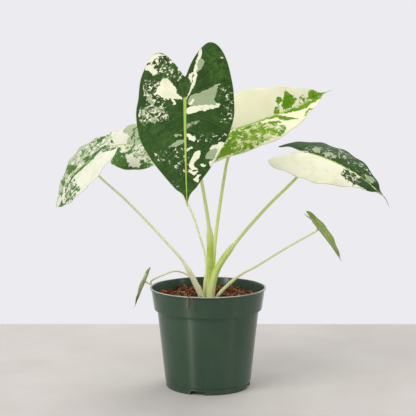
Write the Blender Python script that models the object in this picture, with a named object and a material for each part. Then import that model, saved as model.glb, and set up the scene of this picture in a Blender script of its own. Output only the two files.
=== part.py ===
# A variegated alocasia in its nursery pot, +Z up, metres.
# The origin is the centre of the pot's underside, on the surface that it stands on.
# X runs to the plant's right seen from the front, and Y runs away from the front.

import bpy
import bmesh
import numpy as np
from math import cos, sin, tan, pi, radians, hypot, sqrt
from mathutils import Vector, Matrix, noise

GAP = 0.0003                 # air kept between neighbours

# Pot
RIM_RADIUS = 0.054
RIM_HEIGHT = 0.093
LIP_THICK = 0.0015
COLLAR_TOP_RADIUS = 0.0528
COLLAR_FOOT_RADIUS = 0.0502
COLLAR_FOOT_HEIGHT = 0.0731
WALL_TOP_RADIUS = 0.0472
BASE_RADIUS = 0.0397
WALL = 0.0010
FLOOR_TOP = 0.0032
RECESS_DEPTH = 0.0020
FOOT_INNER_RADIUS = 0.0310
BOSS_RADIUS = 0.0090
DRAIN_COUNT = 4
DRAIN_WIDTH = 0.0130
DRAIN_HEIGHT = 0.0034
DRAIN_FIRST_ANGLE = radians(-104)
POT_SEGMENTS = 60

# Potting mix and the crown that the leaf stalks grow from
MIX_HEIGHT = 0.0840
MIX_BUMP = 0.0013
MIX_SEGMENTS = 40
CROWN_CENTRE = (0.0006, -0.0008)
CROWN_RADIUS = 0.0121
CROWN_TOP = 0.0795
CROWN_FOOT = 0.0560
CHIP_COUNT = 9
CHIP_THICK = 0.0012

# Leaf blades
BLADE_THICK = 0.0008
FRONT_ROWS = 12
LOBE_ROWS = 8
HALF_COLUMNS = 4
SMALL_LEAF = 0.040           # a shorter blade takes fewer rows and columns
SMALL_ROWS = (9, 6, 3)
TIP_CROWDING = 0.46 * pi     # rows crowd towards the tip and the lobe ends
THINNEST_TIP = 0.0005
STALK_SIDES = 8
SHEATH_TAPER = 0.06           # share of a stalk over which its sheath narrows

# Each leaf: where its stalk meets the blade, the compass direction and dip of its midrib, and
# its roll about it. length runs from the stalk to the tip. Pairs are (right half, left half),
# seen along the midrib from above. lobe is a rear lobe's reach and lobe_end its end's offset,
# as shares of length and width. join is how far the lobes are grown together behind the stalk.
# droop, lobe_droop, fold, curl, lobe_fold and tip_fold are in degrees, and sweep bends the
# midrib sideways. stalk is the route below the blade. Its lower share is a thicker sheath, and
# radii are those of the sheath at its foot and end, and of the bare stalk at its foot and top.
LEAVES = {
    "front_leaf": dict(
        at=(-0.0200, -0.0500, 0.2670), yaw=-89, dip=53, roll=10, length=0.108,
        droop=-2, lobe_droop=-17, sweep=-0.04, width=(0.0450, 0.0430), lobe=(0.47, 0.50),
        lobe_end=(0.51, 0.55), join=0.22, widest=0.11, fold=(1, 4), curl=(-18, -18),
        lobe_fold=(-1, 6), tip_fold=(-4, -5), radii=(0.0027, 0.0029, 0.0021, 0.0012),
        sheath=0.365,
        stalk=[(0.0006, -0.0006), (0.0012, -0.0006, 0.0930), (0.0017, -0.0034, 0.117),
               (0.0012, -0.0090, 0.147), (-0.0052, -0.0190, 0.1895), (-0.0135, -0.0320, 0.231)]),
    "back_right_leaf": dict(
        at=(0.0278, 0.0350, 0.2380), yaw=21, dip=-16, roll=49, length=0.111,
        droop=10, lobe_droop=22, sweep=-0.28, width=(0.0360, 0.0360), lobe=(0.52, 0.50),
        lobe_end=(0.53, 0.50), join=0.18, widest=0.18, fold=(24, 15), curl=(-9, -17),
        lobe_fold=(-2, 0), tip_fold=(13, 12), radii=(0.0022, 0.0021, 0.0019, 0.0013),
        sheath=0.30,
        stalk=[(0.0024, 0.0048), (0.0034, 0.0048, 0.0945), (0.0050, 0.0060, 0.118),
               (0.0084, 0.0115, 0.149), (0.0149, 0.0210, 0.191), (0.0187, 0.0290, 0.210)]),
    "right_leaf": dict(
        at=(0.0963, 0.0, 0.2163), yaw=-19, dip=15, roll=8, length=0.077,
        droop=30, lobe_droop=27, sweep=-0.03, width=(0.0370, 0.0370), lobe=(0.49, 0.50),
        lobe_end=(0.54, 0.51), join=0.09, widest=0.16, fold=(-14, 22), curl=(-22, -33),
        lobe_fold=(6, -6), tip_fold=(5, 3), radii=(0.0032, 0.0023, 0.00175, 0.0013),
        sheath=0.35,
        stalk=[(0.0030, -0.0058), (0.0042, -0.0060, 0.0950), (0.0105, -0.0040, 0.1135),
               (0.0296, 0.0005, 0.1390), (0.0555, 0.0035, 0.168), (0.0800, 0.0060, 0.192)]),
    "small_right_leaf": dict(
        at=(0.1003, -0.0200, 0.1497), yaw=-8, dip=50, roll=6, length=0.036,
        droop=8, lobe_droop=10, sweep=0.0, width=(0.0125, 0.0125), lobe=(0.52, 0.52),
        lobe_end=(0.50, 0.50), join=0.16, widest=0.12, fold=(24, 24), curl=(-10, -10),
        lobe_fold=(0, 0), tip_fold=(4, 4), radii=(0.0016, 0.0013, 0.00115, 0.0009),
        sheath=0.28,
        stalk=[(0.0082, -0.0040), (0.0108, -0.0052, 0.0872), (0.0284, -0.0092, 0.1045),
               (0.0458, -0.0120, 0.1148), (0.0612, -0.0140, 0.1249), (0.0830, -0.0170, 0.1385)]),
    "left_leaf": dict(
        at=(-0.1078, -0.0200, 0.2110), yaw=171, dip=35, roll=-48, length=0.063,
        droop=47, lobe_droop=2, sweep=0.02, width=(0.0340, 0.0350), lobe=(0.52, 0.52),
        lobe_end=(0.56, 0.52), join=0.16, widest=0.22, fold=(-13, 10), curl=(-6, 7),
        lobe_fold=(-7, 14), tip_fold=(-2, -5), radii=(0.0027, 0.0021, 0.0015, 0.0011),
        sheath=0.24,
        stalk=[(-0.0052, -0.0052), (-0.0078, -0.0060, 0.0885), (-0.0218, -0.0085, 0.1163),
               (-0.0398, -0.0100, 0.1378), (-0.0714, -0.0120, 0.1717), (-0.0990, -0.0140, 0.1975)]),
    "small_left_leaf": dict(
        at=(-0.0585, -0.0050, 0.0985), yaw=176, dip=66, roll=-6, length=0.026,
        droop=4, lobe_droop=8, sweep=0.0, width=(0.0090, 0.0090), lobe=(0.52, 0.52),
        lobe_end=(0.50, 0.50), join=0.16, widest=0.12, fold=(22, 22), curl=(-8, -8),
        lobe_fold=(0, 0), tip_fold=(2, 2), radii=(0.0013, 0.0011, 0.00095, 0.0008),
        sheath=0.20,
        stalk=[(-0.0050, 0.0062), (-0.0085, 0.0058, 0.0925), (-0.0189, 0.0040, 0.1032),
               (-0.0300, 0.0010, 0.1075), (-0.0420, -0.0020, 0.1043), (-0.0520, -0.0040, 0.0995)]),
    "back_left_leaf": dict(
        at=(-0.0580, 0.0320, 0.2250), yaw=149, dip=4, roll=-60, length=0.076,
        droop=32, lobe_droop=7, sweep=0.25, width=(0.0290, 0.0300), lobe=(0.50, 0.50),
        lobe_end=(0.50, 0.49), join=0.18, widest=0.11, fold=(-2, 11), curl=(-26, -11),
        lobe_fold=(0, 10), tip_fold=(11, 10), radii=(0.0016, 0.0013, 0.0011, 0.0010),
        sheath=0.26,
        stalk=[(-0.0042, 0.0024), (-0.0030, 0.0028, 0.0945), (-0.0017, 0.0045, 0.117),
               (-0.0106, 0.0105, 0.1485), (-0.0182, 0.0160, 0.167), (-0.0360, 0.0260, 0.1985)]),
}

# A loose strand of coir that hangs over the front of the rim
STRAND_RADIUS = 0.0004
STRAND_ROUTE = [(-0.0160, -0.0440, 0.0856), (-0.0167, -0.0468, 0.0885), (-0.0169, -0.0476, 0.0922),
                (-0.0173, -0.0498, 0.0942), (-0.0176, -0.0517, 0.0940), (-0.0179, -0.0524, 0.0915),
                (-0.0186, -0.0516, 0.0862), (-0.0190, -0.0503, 0.0800)]

COLOURS = {
    "pot": ((0.050, 0.095, 0.058), 0.42),
    "mix": ((0.110, 0.048, 0.026), 0.95),
    "chip": ((0.210, 0.085, 0.040), 0.90),
    "crown": ((0.420, 0.400, 0.200), 0.60),
    "stalk": ((0.540, 0.600, 0.200), 0.45),
    "blade": ((0.060, 0.140, 0.050), 0.55),
    "coir": ((0.380, 0.180, 0.110), 0.85),
}


def clear_scene():
    for obj in list(bpy.data.objects):
        bpy.data.objects.remove(obj, do_unlink=True)


def finish_material(name, kind):
    colour, roughness = COLOURS[kind]
    mat = bpy.data.materials.new(name)
    mat.use_nodes = True
    shader = mat.node_tree.nodes["Principled BSDF"]
    shader.inputs["Base Color"].default_value = (*colour, 1.0)
    shader.inputs["Roughness"].default_value = roughness
    shader.inputs["Metallic"].default_value = 0.0
    mat.diffuse_color = (*colour, 1.0)
    return mat


def add_object(name, verts, faces, kind, smooth=True):
    mesh = bpy.data.meshes.new(name)
    mesh.from_pydata([tuple(v) for v in verts], [], faces)
    mesh.validate()
    obj = bpy.data.objects.new(name, mesh)
    bpy.context.scene.collection.objects.link(obj)
    mesh.materials.append(finish_material(name, kind))
    if smooth:
        mesh.shade_smooth()
        mesh.set_sharp_from_angle(angle=radians(40))
    return obj


def turned(name, outline, segments, kind, centre=(0.0, 0.0)):
    """Turn an outline of (radius, height) about a vertical axis. It runs from the axis at the
    underside, out and up, and back to the axis on top."""
    verts = [(centre[0], centre[1], outline[0][1])]
    rings = outline[1:-1]
    for radius, height in rings:
        for i in range(segments):
            a = 2 * pi * i / segments
            verts.append((centre[0] + radius * cos(a), centre[1] + radius * sin(a), height))
    verts.append((centre[0], centre[1], outline[-1][1]))
    last = len(verts) - 1
    faces = []
    for i in range(segments):
        j = (i + 1) % segments
        faces.append((0, 1 + j, 1 + i))
        for k in range(len(rings) - 1):
            low, high = 1 + k * segments, 1 + (k + 1) * segments
            faces.append((low + i, low + j, high + j, high + i))
        top = 1 + (len(rings) - 1) * segments
        faces.append((top + i, top + j, last))
    return add_object(name, verts, faces, kind)


def inner_wall_radius(z):
    """Radius of the pot's inner side, below the lip."""
    if z < COLLAR_FOOT_HEIGHT:
        share = z / COLLAR_FOOT_HEIGHT
        return BASE_RADIUS - WALL + (WALL_TOP_RADIUS - BASE_RADIUS) * share
    share = (z - COLLAR_FOOT_HEIGHT) / (RIM_HEIGHT - COLLAR_FOOT_HEIGHT)
    return COLLAR_FOOT_RADIUS - WALL + (COLLAR_TOP_RADIUS - COLLAR_FOOT_RADIUS) * share


def build_pot():
    corner = 0.0009
    lip_low = RIM_HEIGHT - LIP_THICK
    lip_inner = COLLAR_TOP_RADIUS - WALL + 0.0006
    shoulder = 0.0012
    outline = [
        (0.0, 0.0), (BOSS_RADIUS, 0.0), (BOSS_RADIUS + 0.0006, RECESS_DEPTH),
        (FOOT_INNER_RADIUS, RECESS_DEPTH), (FOOT_INNER_RADIUS + 0.0006, 0.0),
        (BASE_RADIUS - corner, 0.0), (BASE_RADIUS, corner),
        (WALL_TOP_RADIUS, COLLAR_FOOT_HEIGHT - 0.0006),
        (COLLAR_FOOT_RADIUS - 0.0005, COLLAR_FOOT_HEIGHT - 0.0003),
        (COLLAR_FOOT_RADIUS, COLLAR_FOOT_HEIGHT + 0.0004),
        (COLLAR_TOP_RADIUS, lip_low), (RIM_RADIUS - 0.0004, lip_low + 0.0001),
        (RIM_RADIUS, lip_low + 0.0006), (RIM_RADIUS, RIM_HEIGHT - 0.0005),
        (RIM_RADIUS - 0.0005, RIM_HEIGHT), (lip_inner + 0.0004, RIM_HEIGHT),
        (lip_inner, RIM_HEIGHT - 0.0006),
        (COLLAR_TOP_RADIUS - WALL, lip_low - 0.0006),
        (COLLAR_FOOT_RADIUS - WALL, COLLAR_FOOT_HEIGHT + shoulder),
        (WALL_TOP_RADIUS - WALL, COLLAR_FOOT_HEIGHT - shoulder),
        (BASE_RADIUS - WALL + 0.0003, FLOOR_TOP), (0.0, FLOOR_TOP)]
    pot = turned("nursery_pot", outline, POT_SEGMENTS, "pot")

    drains = bmesh.new()
    for i in range(DRAIN_COUNT):
        angle = DRAIN_FIRST_ANGLE + 2 * pi * i / DRAIN_COUNT
        depth = BASE_RADIUS - FOOT_INNER_RADIUS
        place = (Matrix.Rotation(angle, 4, "Z")
                 @ Matrix.Translation((FOOT_INNER_RADIUS + 0.002 + depth / 2, 0, DRAIN_HEIGHT / 2 - 0.001))
                 @ Matrix.Diagonal((depth + 0.001, DRAIN_WIDTH, DRAIN_HEIGHT + 0.002, 1)))
        bmesh.ops.create_cube(drains, size=1.0, matrix=place)
    mesh = bpy.data.meshes.new("drain_cutter")
    drains.to_mesh(mesh)
    drains.free()
    cutter = bpy.data.objects.new("drain_cutter", mesh)
    bpy.context.scene.collection.objects.link(cutter)
    cutter.hide_render = True
    cutter.display_type = "WIRE"
    cut = pot.modifiers.new("drains", "BOOLEAN")
    cut.operation = "DIFFERENCE"
    cut.solver = "EXACT"
    cut.object = cutter


def mix_height(x, y):
    """Height of the loose top of the mix, heaped a little around the stalks."""
    bump = noise.noise(Vector((x * 190, y * 190, 3.7))) + 0.5 * noise.noise(Vector((x * 420, y * 420, 9.1)))
    return MIX_HEIGHT + MIX_BUMP * bump - 0.0012 * (hypot(x, y) / RIM_RADIUS) ** 2


def build_mix():
    cx, cy = CROWN_CENTRE
    pocket = CROWN_RADIUS + GAP + 0.0001
    pocket_floor = CROWN_FOOT - GAP
    n = MIX_SEGMENTS
    edge = inner_wall_radius(MIX_HEIGHT - MIX_BUMP * 2) - GAP - 0.0001
    step = 0.0012
    outer = [(BASE_RADIUS - WALL - 0.0010, FLOOR_TOP + GAP),
             (BASE_RADIUS - WALL - GAP, FLOOR_TOP + 0.0012),
             (WALL_TOP_RADIUS - WALL - GAP - 0.0001, COLLAR_FOOT_HEIGHT - step + 0.0001),
             (COLLAR_FOOT_RADIUS - WALL - GAP - 0.0002, COLLAR_FOOT_HEIGHT + step + 0.0004)]
    top_rings = 7
    rings = []
    for radius, z in outer:
        rings.append([(radius * cos(2 * pi * i / n), radius * sin(2 * pi * i / n), z) for i in range(n)])
    for k in range(top_rings + 1):
        share = k / top_rings
        ring = []
        for i in range(n):
            a = 2 * pi * i / n
            x = (1 - share) * edge * cos(a) + share * (cx + pocket * cos(a))
            y = (1 - share) * edge * sin(a) + share * (cy + pocket * sin(a))
            ring.append((x, y, mix_height(x, y)))
        rings.append(ring)
    rings.append([(cx + pocket * cos(2 * pi * i / n), cy + pocket * sin(2 * pi * i / n), pocket_floor)
                  for i in range(n)])
    verts = [(0.0, 0.0, FLOOR_TOP + GAP)]
    for ring in rings:
        verts += ring
    verts.append((cx, cy, pocket_floor))
    last = len(verts) - 1
    faces = []
    for i in range(n):
        j = (i + 1) % n
        faces.append((0, 1 + j, 1 + i))
        for k in range(len(rings) - 1):
            low, high = 1 + k * n, 1 + (k + 1) * n
            faces.append((low + i, low + j, high + j, high + i))
        top = 1 + (len(rings) - 1) * n
        faces.append((top + i, top + j, last))
    return add_object("potting_mix", verts, faces, "mix")


def build_crown():
    r = CROWN_RADIUS
    outline = [(0.0, CROWN_FOOT), (r * 0.70, CROWN_FOOT), (r * 0.94, CROWN_FOOT + 0.0030),
               (r, CROWN_FOOT + 0.0080), (r, CROWN_TOP - 0.0030), (r * 0.975, CROWN_TOP - 0.0010),
               (r * 0.93, CROWN_TOP), (0.0, CROWN_TOP)]
    turned("crown", outline, 28, "crown", CROWN_CENTRE)


def smooth_route(points, per_span):
    """Points on a Catmull-Rom curve through a route."""
    pts = [Vector(p) for p in points]
    pts = [2 * pts[0] - pts[1]] + pts + [2 * pts[-1] - pts[-2]]
    out = []
    for i in range(1, len(pts) - 2):
        a, b, c, d = pts[i - 1], pts[i], pts[i + 1], pts[i + 2]
        for k in range(per_span):
            t = k / per_span
            out.append(0.5 * (2 * b + (c - a) * t + (2 * a - 5 * b + 4 * c - d) * t * t
                              + (3 * b - a - 3 * c + d) * t ** 3))
    out.append(pts[-2])
    return out


def tube(name, path, radii, sides, kind, first=None, last=None):
    """A closed round rod along a path, with a radius at each point."""
    count = len(path)
    verts, faces = [], []
    side = None
    for i, point in enumerate(path):
        along = (path[min(i + 1, count - 1)] - path[max(i - 1, 0)]).normalized()
        if i == 0 and first is not None:
            along = first.normalized()
        if i == count - 1 and last is not None:
            along = last.normalized()
        if side is None:
            side = along.orthogonal().normalized()
        side = (side - along * side.dot(along)).normalized()
        up = along.cross(side)
        for k in range(sides):
            a = 2 * pi * k / sides
            verts.append(point + radii[i] * (cos(a) * side + sin(a) * up))
    for i in range(count - 1):
        for k in range(sides):
            m = (k + 1) % sides
            faces.append((i * sides + k, i * sides + m, (i + 1) * sides + m, (i + 1) * sides + k))
    faces.append(tuple(reversed(range(sides))))
    faces.append(tuple(range((count - 1) * sides, count * sides)))
    return add_object(name, verts, faces, kind)


def leaf_frame(leaf):
    """Forward, right and upward directions of a blade where its stalk joins it."""
    yaw, dip, roll = radians(leaf["yaw"]), radians(leaf["dip"]), radians(leaf["roll"])
    ahead = Vector((cos(dip) * cos(yaw), cos(dip) * sin(yaw), -sin(dip)))
    right = ahead.cross(Vector((0, 0, 1))).normalized()
    up = right.cross(ahead)
    return ahead, cos(roll) * right - sin(roll) * up, cos(roll) * up + sin(roll) * right


def outer_reach(leaf, half, t):
    """Half-width of the margin at t, in blade lengths ahead of the stalk."""
    width, lobe, end = leaf["width"][half], leaf["lobe"][half], leaf["lobe_end"][half]
    widest = leaf["widest"]
    if t > widest:
        share = min((t - widest) / (1 - widest), 1.0)
        reach = width * (1 - share ** 1.75) ** 1.25
    else:
        share = min((widest - t) / (widest + lobe), 1.0)
        reach = width * (end + (1 - end) * (1 - share ** 2.2) ** (1 / 2.2))
    return max(reach, THINNEST_TIP)


def inner_reach(leaf, half, t):
    """Offset of a rear lobe's inner margin, and zero ahead of the join."""
    lobe, join = leaf["lobe"][half], leaf["join"]
    share = min(max((-t - join) / (lobe - join), 0.0), 1.0)
    shape = 0.12 * sqrt(share) + 0.4 * share + 0.48 * (1 - sqrt(1 - share * share))
    return leaf["width"][half] * leaf["lobe_end"][half] * shape


def blade_point(leaf, half, t, reach):
    """A point of the blade, t lengths ahead of the stalk and reach metres out from the midrib."""
    ahead, right, up = leaf_frame(leaf)
    sign = 1 if half == 0 else -1
    length, width = leaf["length"], leaf["width"][half]
    forward = 1 if t >= 0 else -1
    bend = radians(leaf["droop"]) / length if t >= 0 else radians(leaf["lobe_droop"]) / (0.5 * length)
    if abs(bend) < 1e-4:
        bend = 1e-4
    turn = bend * abs(t) * length
    spine = (Vector(leaf["at"]) + ahead * (forward * sin(turn) / bend) - up * ((1 - cos(turn)) / bend))
    if t > 0:
        spine += right * (0.5 * leaf["sweep"] * length * t * t)
    top = cos(turn) * up + forward * sin(turn) * ahead
    fold = radians(leaf["fold"][half])
    fold += radians(leaf["tip_fold"][half]) * t if t >= 0 else radians(leaf["lobe_fold"][half]) * -t / 0.5
    curl = radians(leaf["curl"][half])
    end = fold + curl * reach / width
    across = width / curl * (sin(end) - sin(fold))
    rise = width / curl * (cos(fold) - cos(end))
    return spine + sign * across * right + rise * top


def build_blade(name, leaf):
    """A thin closed blade. Rows run from the tip back to the join, and on into each rear lobe."""
    rows, lobe_rows, columns = FRONT_ROWS, LOBE_ROWS, HALF_COLUMNS
    if leaf["length"] < SMALL_LEAF:
        rows, lobe_rows, columns = SMALL_ROWS
    verts, index, faces = [], {}, []

    def vertex(key, half, t, reach):
        if key not in index:
            index[key] = len(verts)
            verts.append(blade_point(leaf, half, t, reach))
        return index[key]

    join = leaf["join"]
    front = [-join + (1 + join) * sin(TIP_CROWDING * (rows - i) / rows) / sin(TIP_CROWDING)
             for i in range(rows + 1)]
    for half in (0, 1):
        lobe = leaf["lobe"][half]
        back = [-join - (lobe - join) * sin(TIP_CROWDING * 1.04 * (i + 1) / lobe_rows)
                for i in range(lobe_rows)]
        grid = []
        for r, t in enumerate(front + back):
            low = inner_reach(leaf, half, t) if r > rows else 0.0
            high = outer_reach(leaf, half, t)
            line = []
            for c in range(columns + 1):
                share = c / columns
                key = ("mid", r) if c == 0 and r <= rows else (half, r, c)
                line.append(vertex(key, half, t, low + (high - low) * share))
            grid.append(line)
        for r in range(len(grid) - 1):
            for c in range(columns):
                quad = (grid[r][c], grid[r][c + 1], grid[r + 1][c + 1], grid[r + 1][c])
                faces.append(quad if half == 1 else tuple(reversed(quad)))
    blade = add_object(name, verts, faces, "blade")
    body = blade.modifiers.new("thickness", "SOLIDIFY")
    body.thickness = BLADE_THICK
    body.offset = 0.0
    body.use_rim = True
    return blade


def build_stalk(name, leaf):
    ahead, right, up = leaf_frame(leaf)
    foot_radius, wrapped_radius, bare_radius, top_radius = leaf["radii"]
    steepest = max(0.0, -min(leaf["fold"]))
    seat = BLADE_THICK / 2 + GAP + 0.0001 + top_radius * tan(radians(steepest))
    end = Vector(leaf["at"]) - up * seat
    below = end - up * 0.0050
    foot = leaf["stalk"][0]
    route = [(*foot, CROWN_TOP + GAP), *leaf["stalk"][1:], below, end]
    path = smooth_route(route, 4)
    lengths = [0.0]
    for a, b in zip(path, path[1:]):
        lengths.append(lengths[-1] + (b - a).length)
    radii = []
    for run in lengths:
        share = run / lengths[-1]
        bare = bare_radius + (top_radius - bare_radius) * share
        wrapped = foot_radius + (wrapped_radius - foot_radius) * share / leaf["sheath"]
        cover = min(max((leaf["sheath"] - share) / SHEATH_TAPER, 0.0), 1.0)
        radii.append(bare + (wrapped - bare) * cover)
    tube(name, path, radii, STALK_SIDES, "stalk", first=Vector((0, 0, 1)), last=up)


def chip_base(mix, x, y, turn, length, width):
    """Lowest height at which a chip's flat underside clears the lumpy mix."""
    high = 0.0
    for i in range(13):
        for j in range(7):
            along, across = (i / 12 - 0.5) * length, (j / 6 - 0.5) * width
            px = x + along * cos(turn) - across * sin(turn)
            py = y + along * sin(turn) + across * cos(turn)
            hit, place, _, _ = mix.ray_cast(Vector((px, py, RIM_HEIGHT)), Vector((0, 0, -1)))
            if hit:
                high = max(high, place.z)
    return high + GAP


def build_chips(mix):
    """Loose flakes of coconut husk that lie on the mix."""
    rng = np.random.default_rng(41)
    spans = 6
    for i in range(CHIP_COUNT):
        angle = 2 * pi * (i + 0.35 * rng.uniform(-1, 1)) / CHIP_COUNT + 0.4
        radius = rng.uniform(0.026, 0.041)
        x, y = radius * cos(angle), radius * sin(angle)
        length, width = rng.uniform(0.008, 0.012), rng.uniform(0.003, 0.005)
        turn = rng.uniform(0, pi)
        bow = rng.uniform(0.0002, 0.0006)
        base = chip_base(mix, x, y, turn, length, width)
        spots = []
        for k in range(spans + 1):
            u = -1 + 2 * k / spans
            half = width / 2 * (1 - 0.55 * u * u)
            for v in (-1, 1):
                spots.append((x + u * length / 2 * cos(turn) - v * half * sin(turn),
                              y + u * length / 2 * sin(turn) + v * half * cos(turn),
                              base + bow * u * u))
        verts = spots + [(px, py, z + CHIP_THICK) for px, py, z in spots]
        n = len(spots)
        faces = [(1, 0, n, n + 1), (n - 2, n - 1, 2 * n - 1, 2 * n - 2)]
        for k in range(spans):
            a, b, c, d = 2 * k, 2 * k + 1, 2 * k + 3, 2 * k + 2
            faces.append((a, b, c, d))
            faces.append((n + a, n + d, n + c, n + b))
            faces.append((a, d, n + d, n + a))
            faces.append((c, b, n + b, n + c))
        add_object("husk_chip_%02d" % (i + 1), verts, faces, "chip", smooth=False)


def build_strand():
    path = smooth_route(STRAND_ROUTE, 4)
    tube("coir_strand", path, [STRAND_RADIUS] * len(path), 6, "coir")


def main():
    clear_scene()
    build_pot()
    mix = build_mix()
    build_crown()
    for name, leaf in LEAVES.items():
        build_blade(name + "_blade", leaf)
        build_stalk(name + "_stalk", leaf)
    build_chips(mix)
    build_strand()


main()
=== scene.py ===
import math
import bpy
import numpy as np
from mathutils import Matrix, Vector, noise


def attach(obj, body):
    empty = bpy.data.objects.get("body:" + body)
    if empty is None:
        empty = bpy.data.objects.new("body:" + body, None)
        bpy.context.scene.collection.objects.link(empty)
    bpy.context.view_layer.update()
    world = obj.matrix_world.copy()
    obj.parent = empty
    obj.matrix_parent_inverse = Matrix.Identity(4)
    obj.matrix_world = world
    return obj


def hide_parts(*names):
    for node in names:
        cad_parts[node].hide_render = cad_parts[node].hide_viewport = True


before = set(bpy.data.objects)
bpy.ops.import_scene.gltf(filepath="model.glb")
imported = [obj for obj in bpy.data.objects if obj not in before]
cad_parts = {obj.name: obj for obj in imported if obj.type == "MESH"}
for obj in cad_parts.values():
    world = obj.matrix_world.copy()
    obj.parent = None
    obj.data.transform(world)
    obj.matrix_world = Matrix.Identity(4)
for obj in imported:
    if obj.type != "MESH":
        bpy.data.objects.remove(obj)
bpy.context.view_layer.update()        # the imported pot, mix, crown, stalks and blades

print("frame loaded:", len(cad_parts), "nodes")
scene = bpy.context.scene
mm = 0.001


# Colours and shader nodes

def tint(code):
    # web colour to linear colour
    parts = [int(code[i:i + 2], 16) / 255 for i in (1, 3, 5)]
    return (*[p / 12.92 if p <= 0.04045 else ((p + 0.055) / 1.055) ** 2.4 for p in parts], 1.0)


class Signal:
    # a node's output, so that sums of them can be written plainly
    def __init__(self, socket):
        self.socket, self.tree = socket, socket.id_data

    def __add__(self, other):
        return calc("ADD", self, other)

    def __mul__(self, other):
        return calc("MULTIPLY", self, other)

    def __sub__(self, other):
        return calc("SUBTRACT", self, other)

    def __rsub__(self, other):
        return calc("SUBTRACT", other, self)

    def __truediv__(self, other):
        return calc("DIVIDE", self, other)

    def __rtruediv__(self, other):
        return calc("DIVIDE", other, self)


def treeOf(values):
    return next(v.tree for v in values if isinstance(v, Signal))


def feed(socket, value):
    # another node's output, a web colour or a plain value
    if isinstance(value, Signal):
        value.tree.links.new(value.socket, socket)
    else:
        socket.default_value = tint(value) if isinstance(value, str) else value


def put(tree, kind, sockets=None, **settings):
    node = tree.nodes.new(kind if kind.startswith("NodeGroup") else "ShaderNode" + kind)
    count = len(tree.nodes)
    node.location = (200 * (count % 9), -260 * (count // 9))
    for name, value in settings.items():
        setattr(node, name, value)
    for name, value in (sockets or {}).items():
        feed(node.inputs[name], value)
    return node


def calc(operation, *values):
    node = put(treeOf(values), "Math", dict(enumerate(values)), operation=operation)
    return Signal(node.outputs[0])


def toNearest(value):
    # distance to the nearest whole number
    return calc("ABSOLUTE", value - calc("ROUND", value))


def ramp(value, low, high, toLow=0.0, toHigh=1.0):
    # smooth step from low to high
    node = put(value.tree, "MapRange", {"Value": value, "From Min": low, "From Max": high,
                                        "To Min": toLow, "To Max": toHigh}, interpolation_type="SMOOTHSTEP")
    return Signal(node.outputs["Result"])


def mixed(share, first, second):
    node = put(share.tree, "Mix", {0: share, 6: first, 7: second}, data_type="RGBA")
    return Signal(node.outputs[2])


def shifted(vector, offset):
    return Signal(put(vector.tree, "VectorMath", {0: vector, 1: offset}, operation="ADD").outputs[0])


def split(vector):
    return [Signal(part) for part in put(vector.tree, "SeparateXYZ", {0: vector}).outputs]


def joined(x, y, z):
    return Signal(put(x.tree, "CombineXYZ", {0: x, 1: y, 2: z}).outputs[0])


def cloudNoise(position, scale, detail, roughness, distortion=0.0):
    node = put(position.tree, "TexNoise", {"Vector": position, "Scale": scale, "Detail": detail,
                                           "Roughness": roughness, "Distortion": distortion})
    return Signal(node.outputs[0])


def newGroup(name, inputs, outputs):
    # sockets are plain numbers, unless another kind follows a colon
    tree = bpy.data.node_groups.new(name, "ShaderNodeTree")
    for way, labels in (("INPUT", inputs), ("OUTPUT", outputs)):
        for label in labels:
            label, _, kind = label.partition(":")
            tree.interface.new_socket(label, in_out=way, socket_type="NodeSocket" + (kind or "Float"))
    given = {part.name: Signal(part) for part in put(tree, "NodeGroupInput").outputs}
    return tree, given, put(tree, "NodeGroupOutput").inputs


def placeGroup(group, sockets):
    node = put(treeOf(sockets.values()), "Group", sockets, node_tree=group)
    return {part.name: Signal(part) for part in node.outputs}


def softMottleGroup():
    # cloudy variation with an even spread from 0 to 1, and a gentle height
    tree, given, out = newGroup("softMottle", ["Position:Vector", "Size", "Contrast"], ["Value", "Height"])
    cloud = cloudNoise(given["Position"], 1.0 / given["Size"], 4.0, 0.6, 0.3)
    spread = (cloud - 0.5) * given["Contrast"] + 0.5
    feed(out["Value"], Signal(put(tree, "Clamp", {"Value": spread}).outputs[0]))
    feed(out["Height"], cloud)
    return tree


def fibreGrainGroup():
    # long thin streaks along the first axis of Position
    tree, given, out = newGroup("fibreGrain", ["Position:Vector", "Length", "Width"], ["Value", "Height"])
    x, y, z = split(given["Position"])
    streaks = cloudNoise(joined(x / given["Length"], y / given["Width"], z / given["Width"]), 1.0, 3.0, 0.55)
    feed(out["Value"], ramp(streaks, 0.33, 0.67))
    feed(out["Height"], streaks)
    return tree


def edgeScuffGroup():
    # worn places: strong where Wear is high, broken up by noise
    tree, given, out = newGroup("edgeScuff", ["Wear", "Position:Vector", "Size"], ["Mask"])
    grit = cloudNoise(given["Position"], 1.0 / given["Size"], 5.0, 0.7)
    feed(out["Mask"], ramp(given["Wear"] * 1.1 + (grit - 0.5), 0.45, 0.95))
    return tree


def leafVeinsGroup():
    # midrib, side veins and fine netting, from the vein numbers and distances stored on the blade
    tree, given, out = newGroup("leafVeins", ["Place:Vector", "Phase", "Gap", "Length", "Midrib Width",
                                              "Vein Width"], ["Midrib", "Veins", "Netting"])
    along, across, _ = split(given["Place"])
    outward = calc("ABSOLUTE", across)
    taper = 1.0 - calc("MAXIMUM", along / given["Length"], 0.0) * 0.82
    inside = ramp(outward / (given["Midrib Width"] * 0.5 * taper), 0.72, 1.2, 1.0, 0.0)
    feed(out["Midrib"], inside * ramp(along, -3.0, -0.5))
    thin = given["Vein Width"] / (outward * 0.045 + 1.0)
    feed(out["Veins"], ramp(toNearest(given["Phase"]) * given["Gap"] / thin, 0.3, 0.9, 1.0, 0.0))
    feed(out["Netting"], ramp(toNearest(given["Phase"] * 5.0), 0.0, 0.28, 1.0, 0.0))
    return tree


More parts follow.
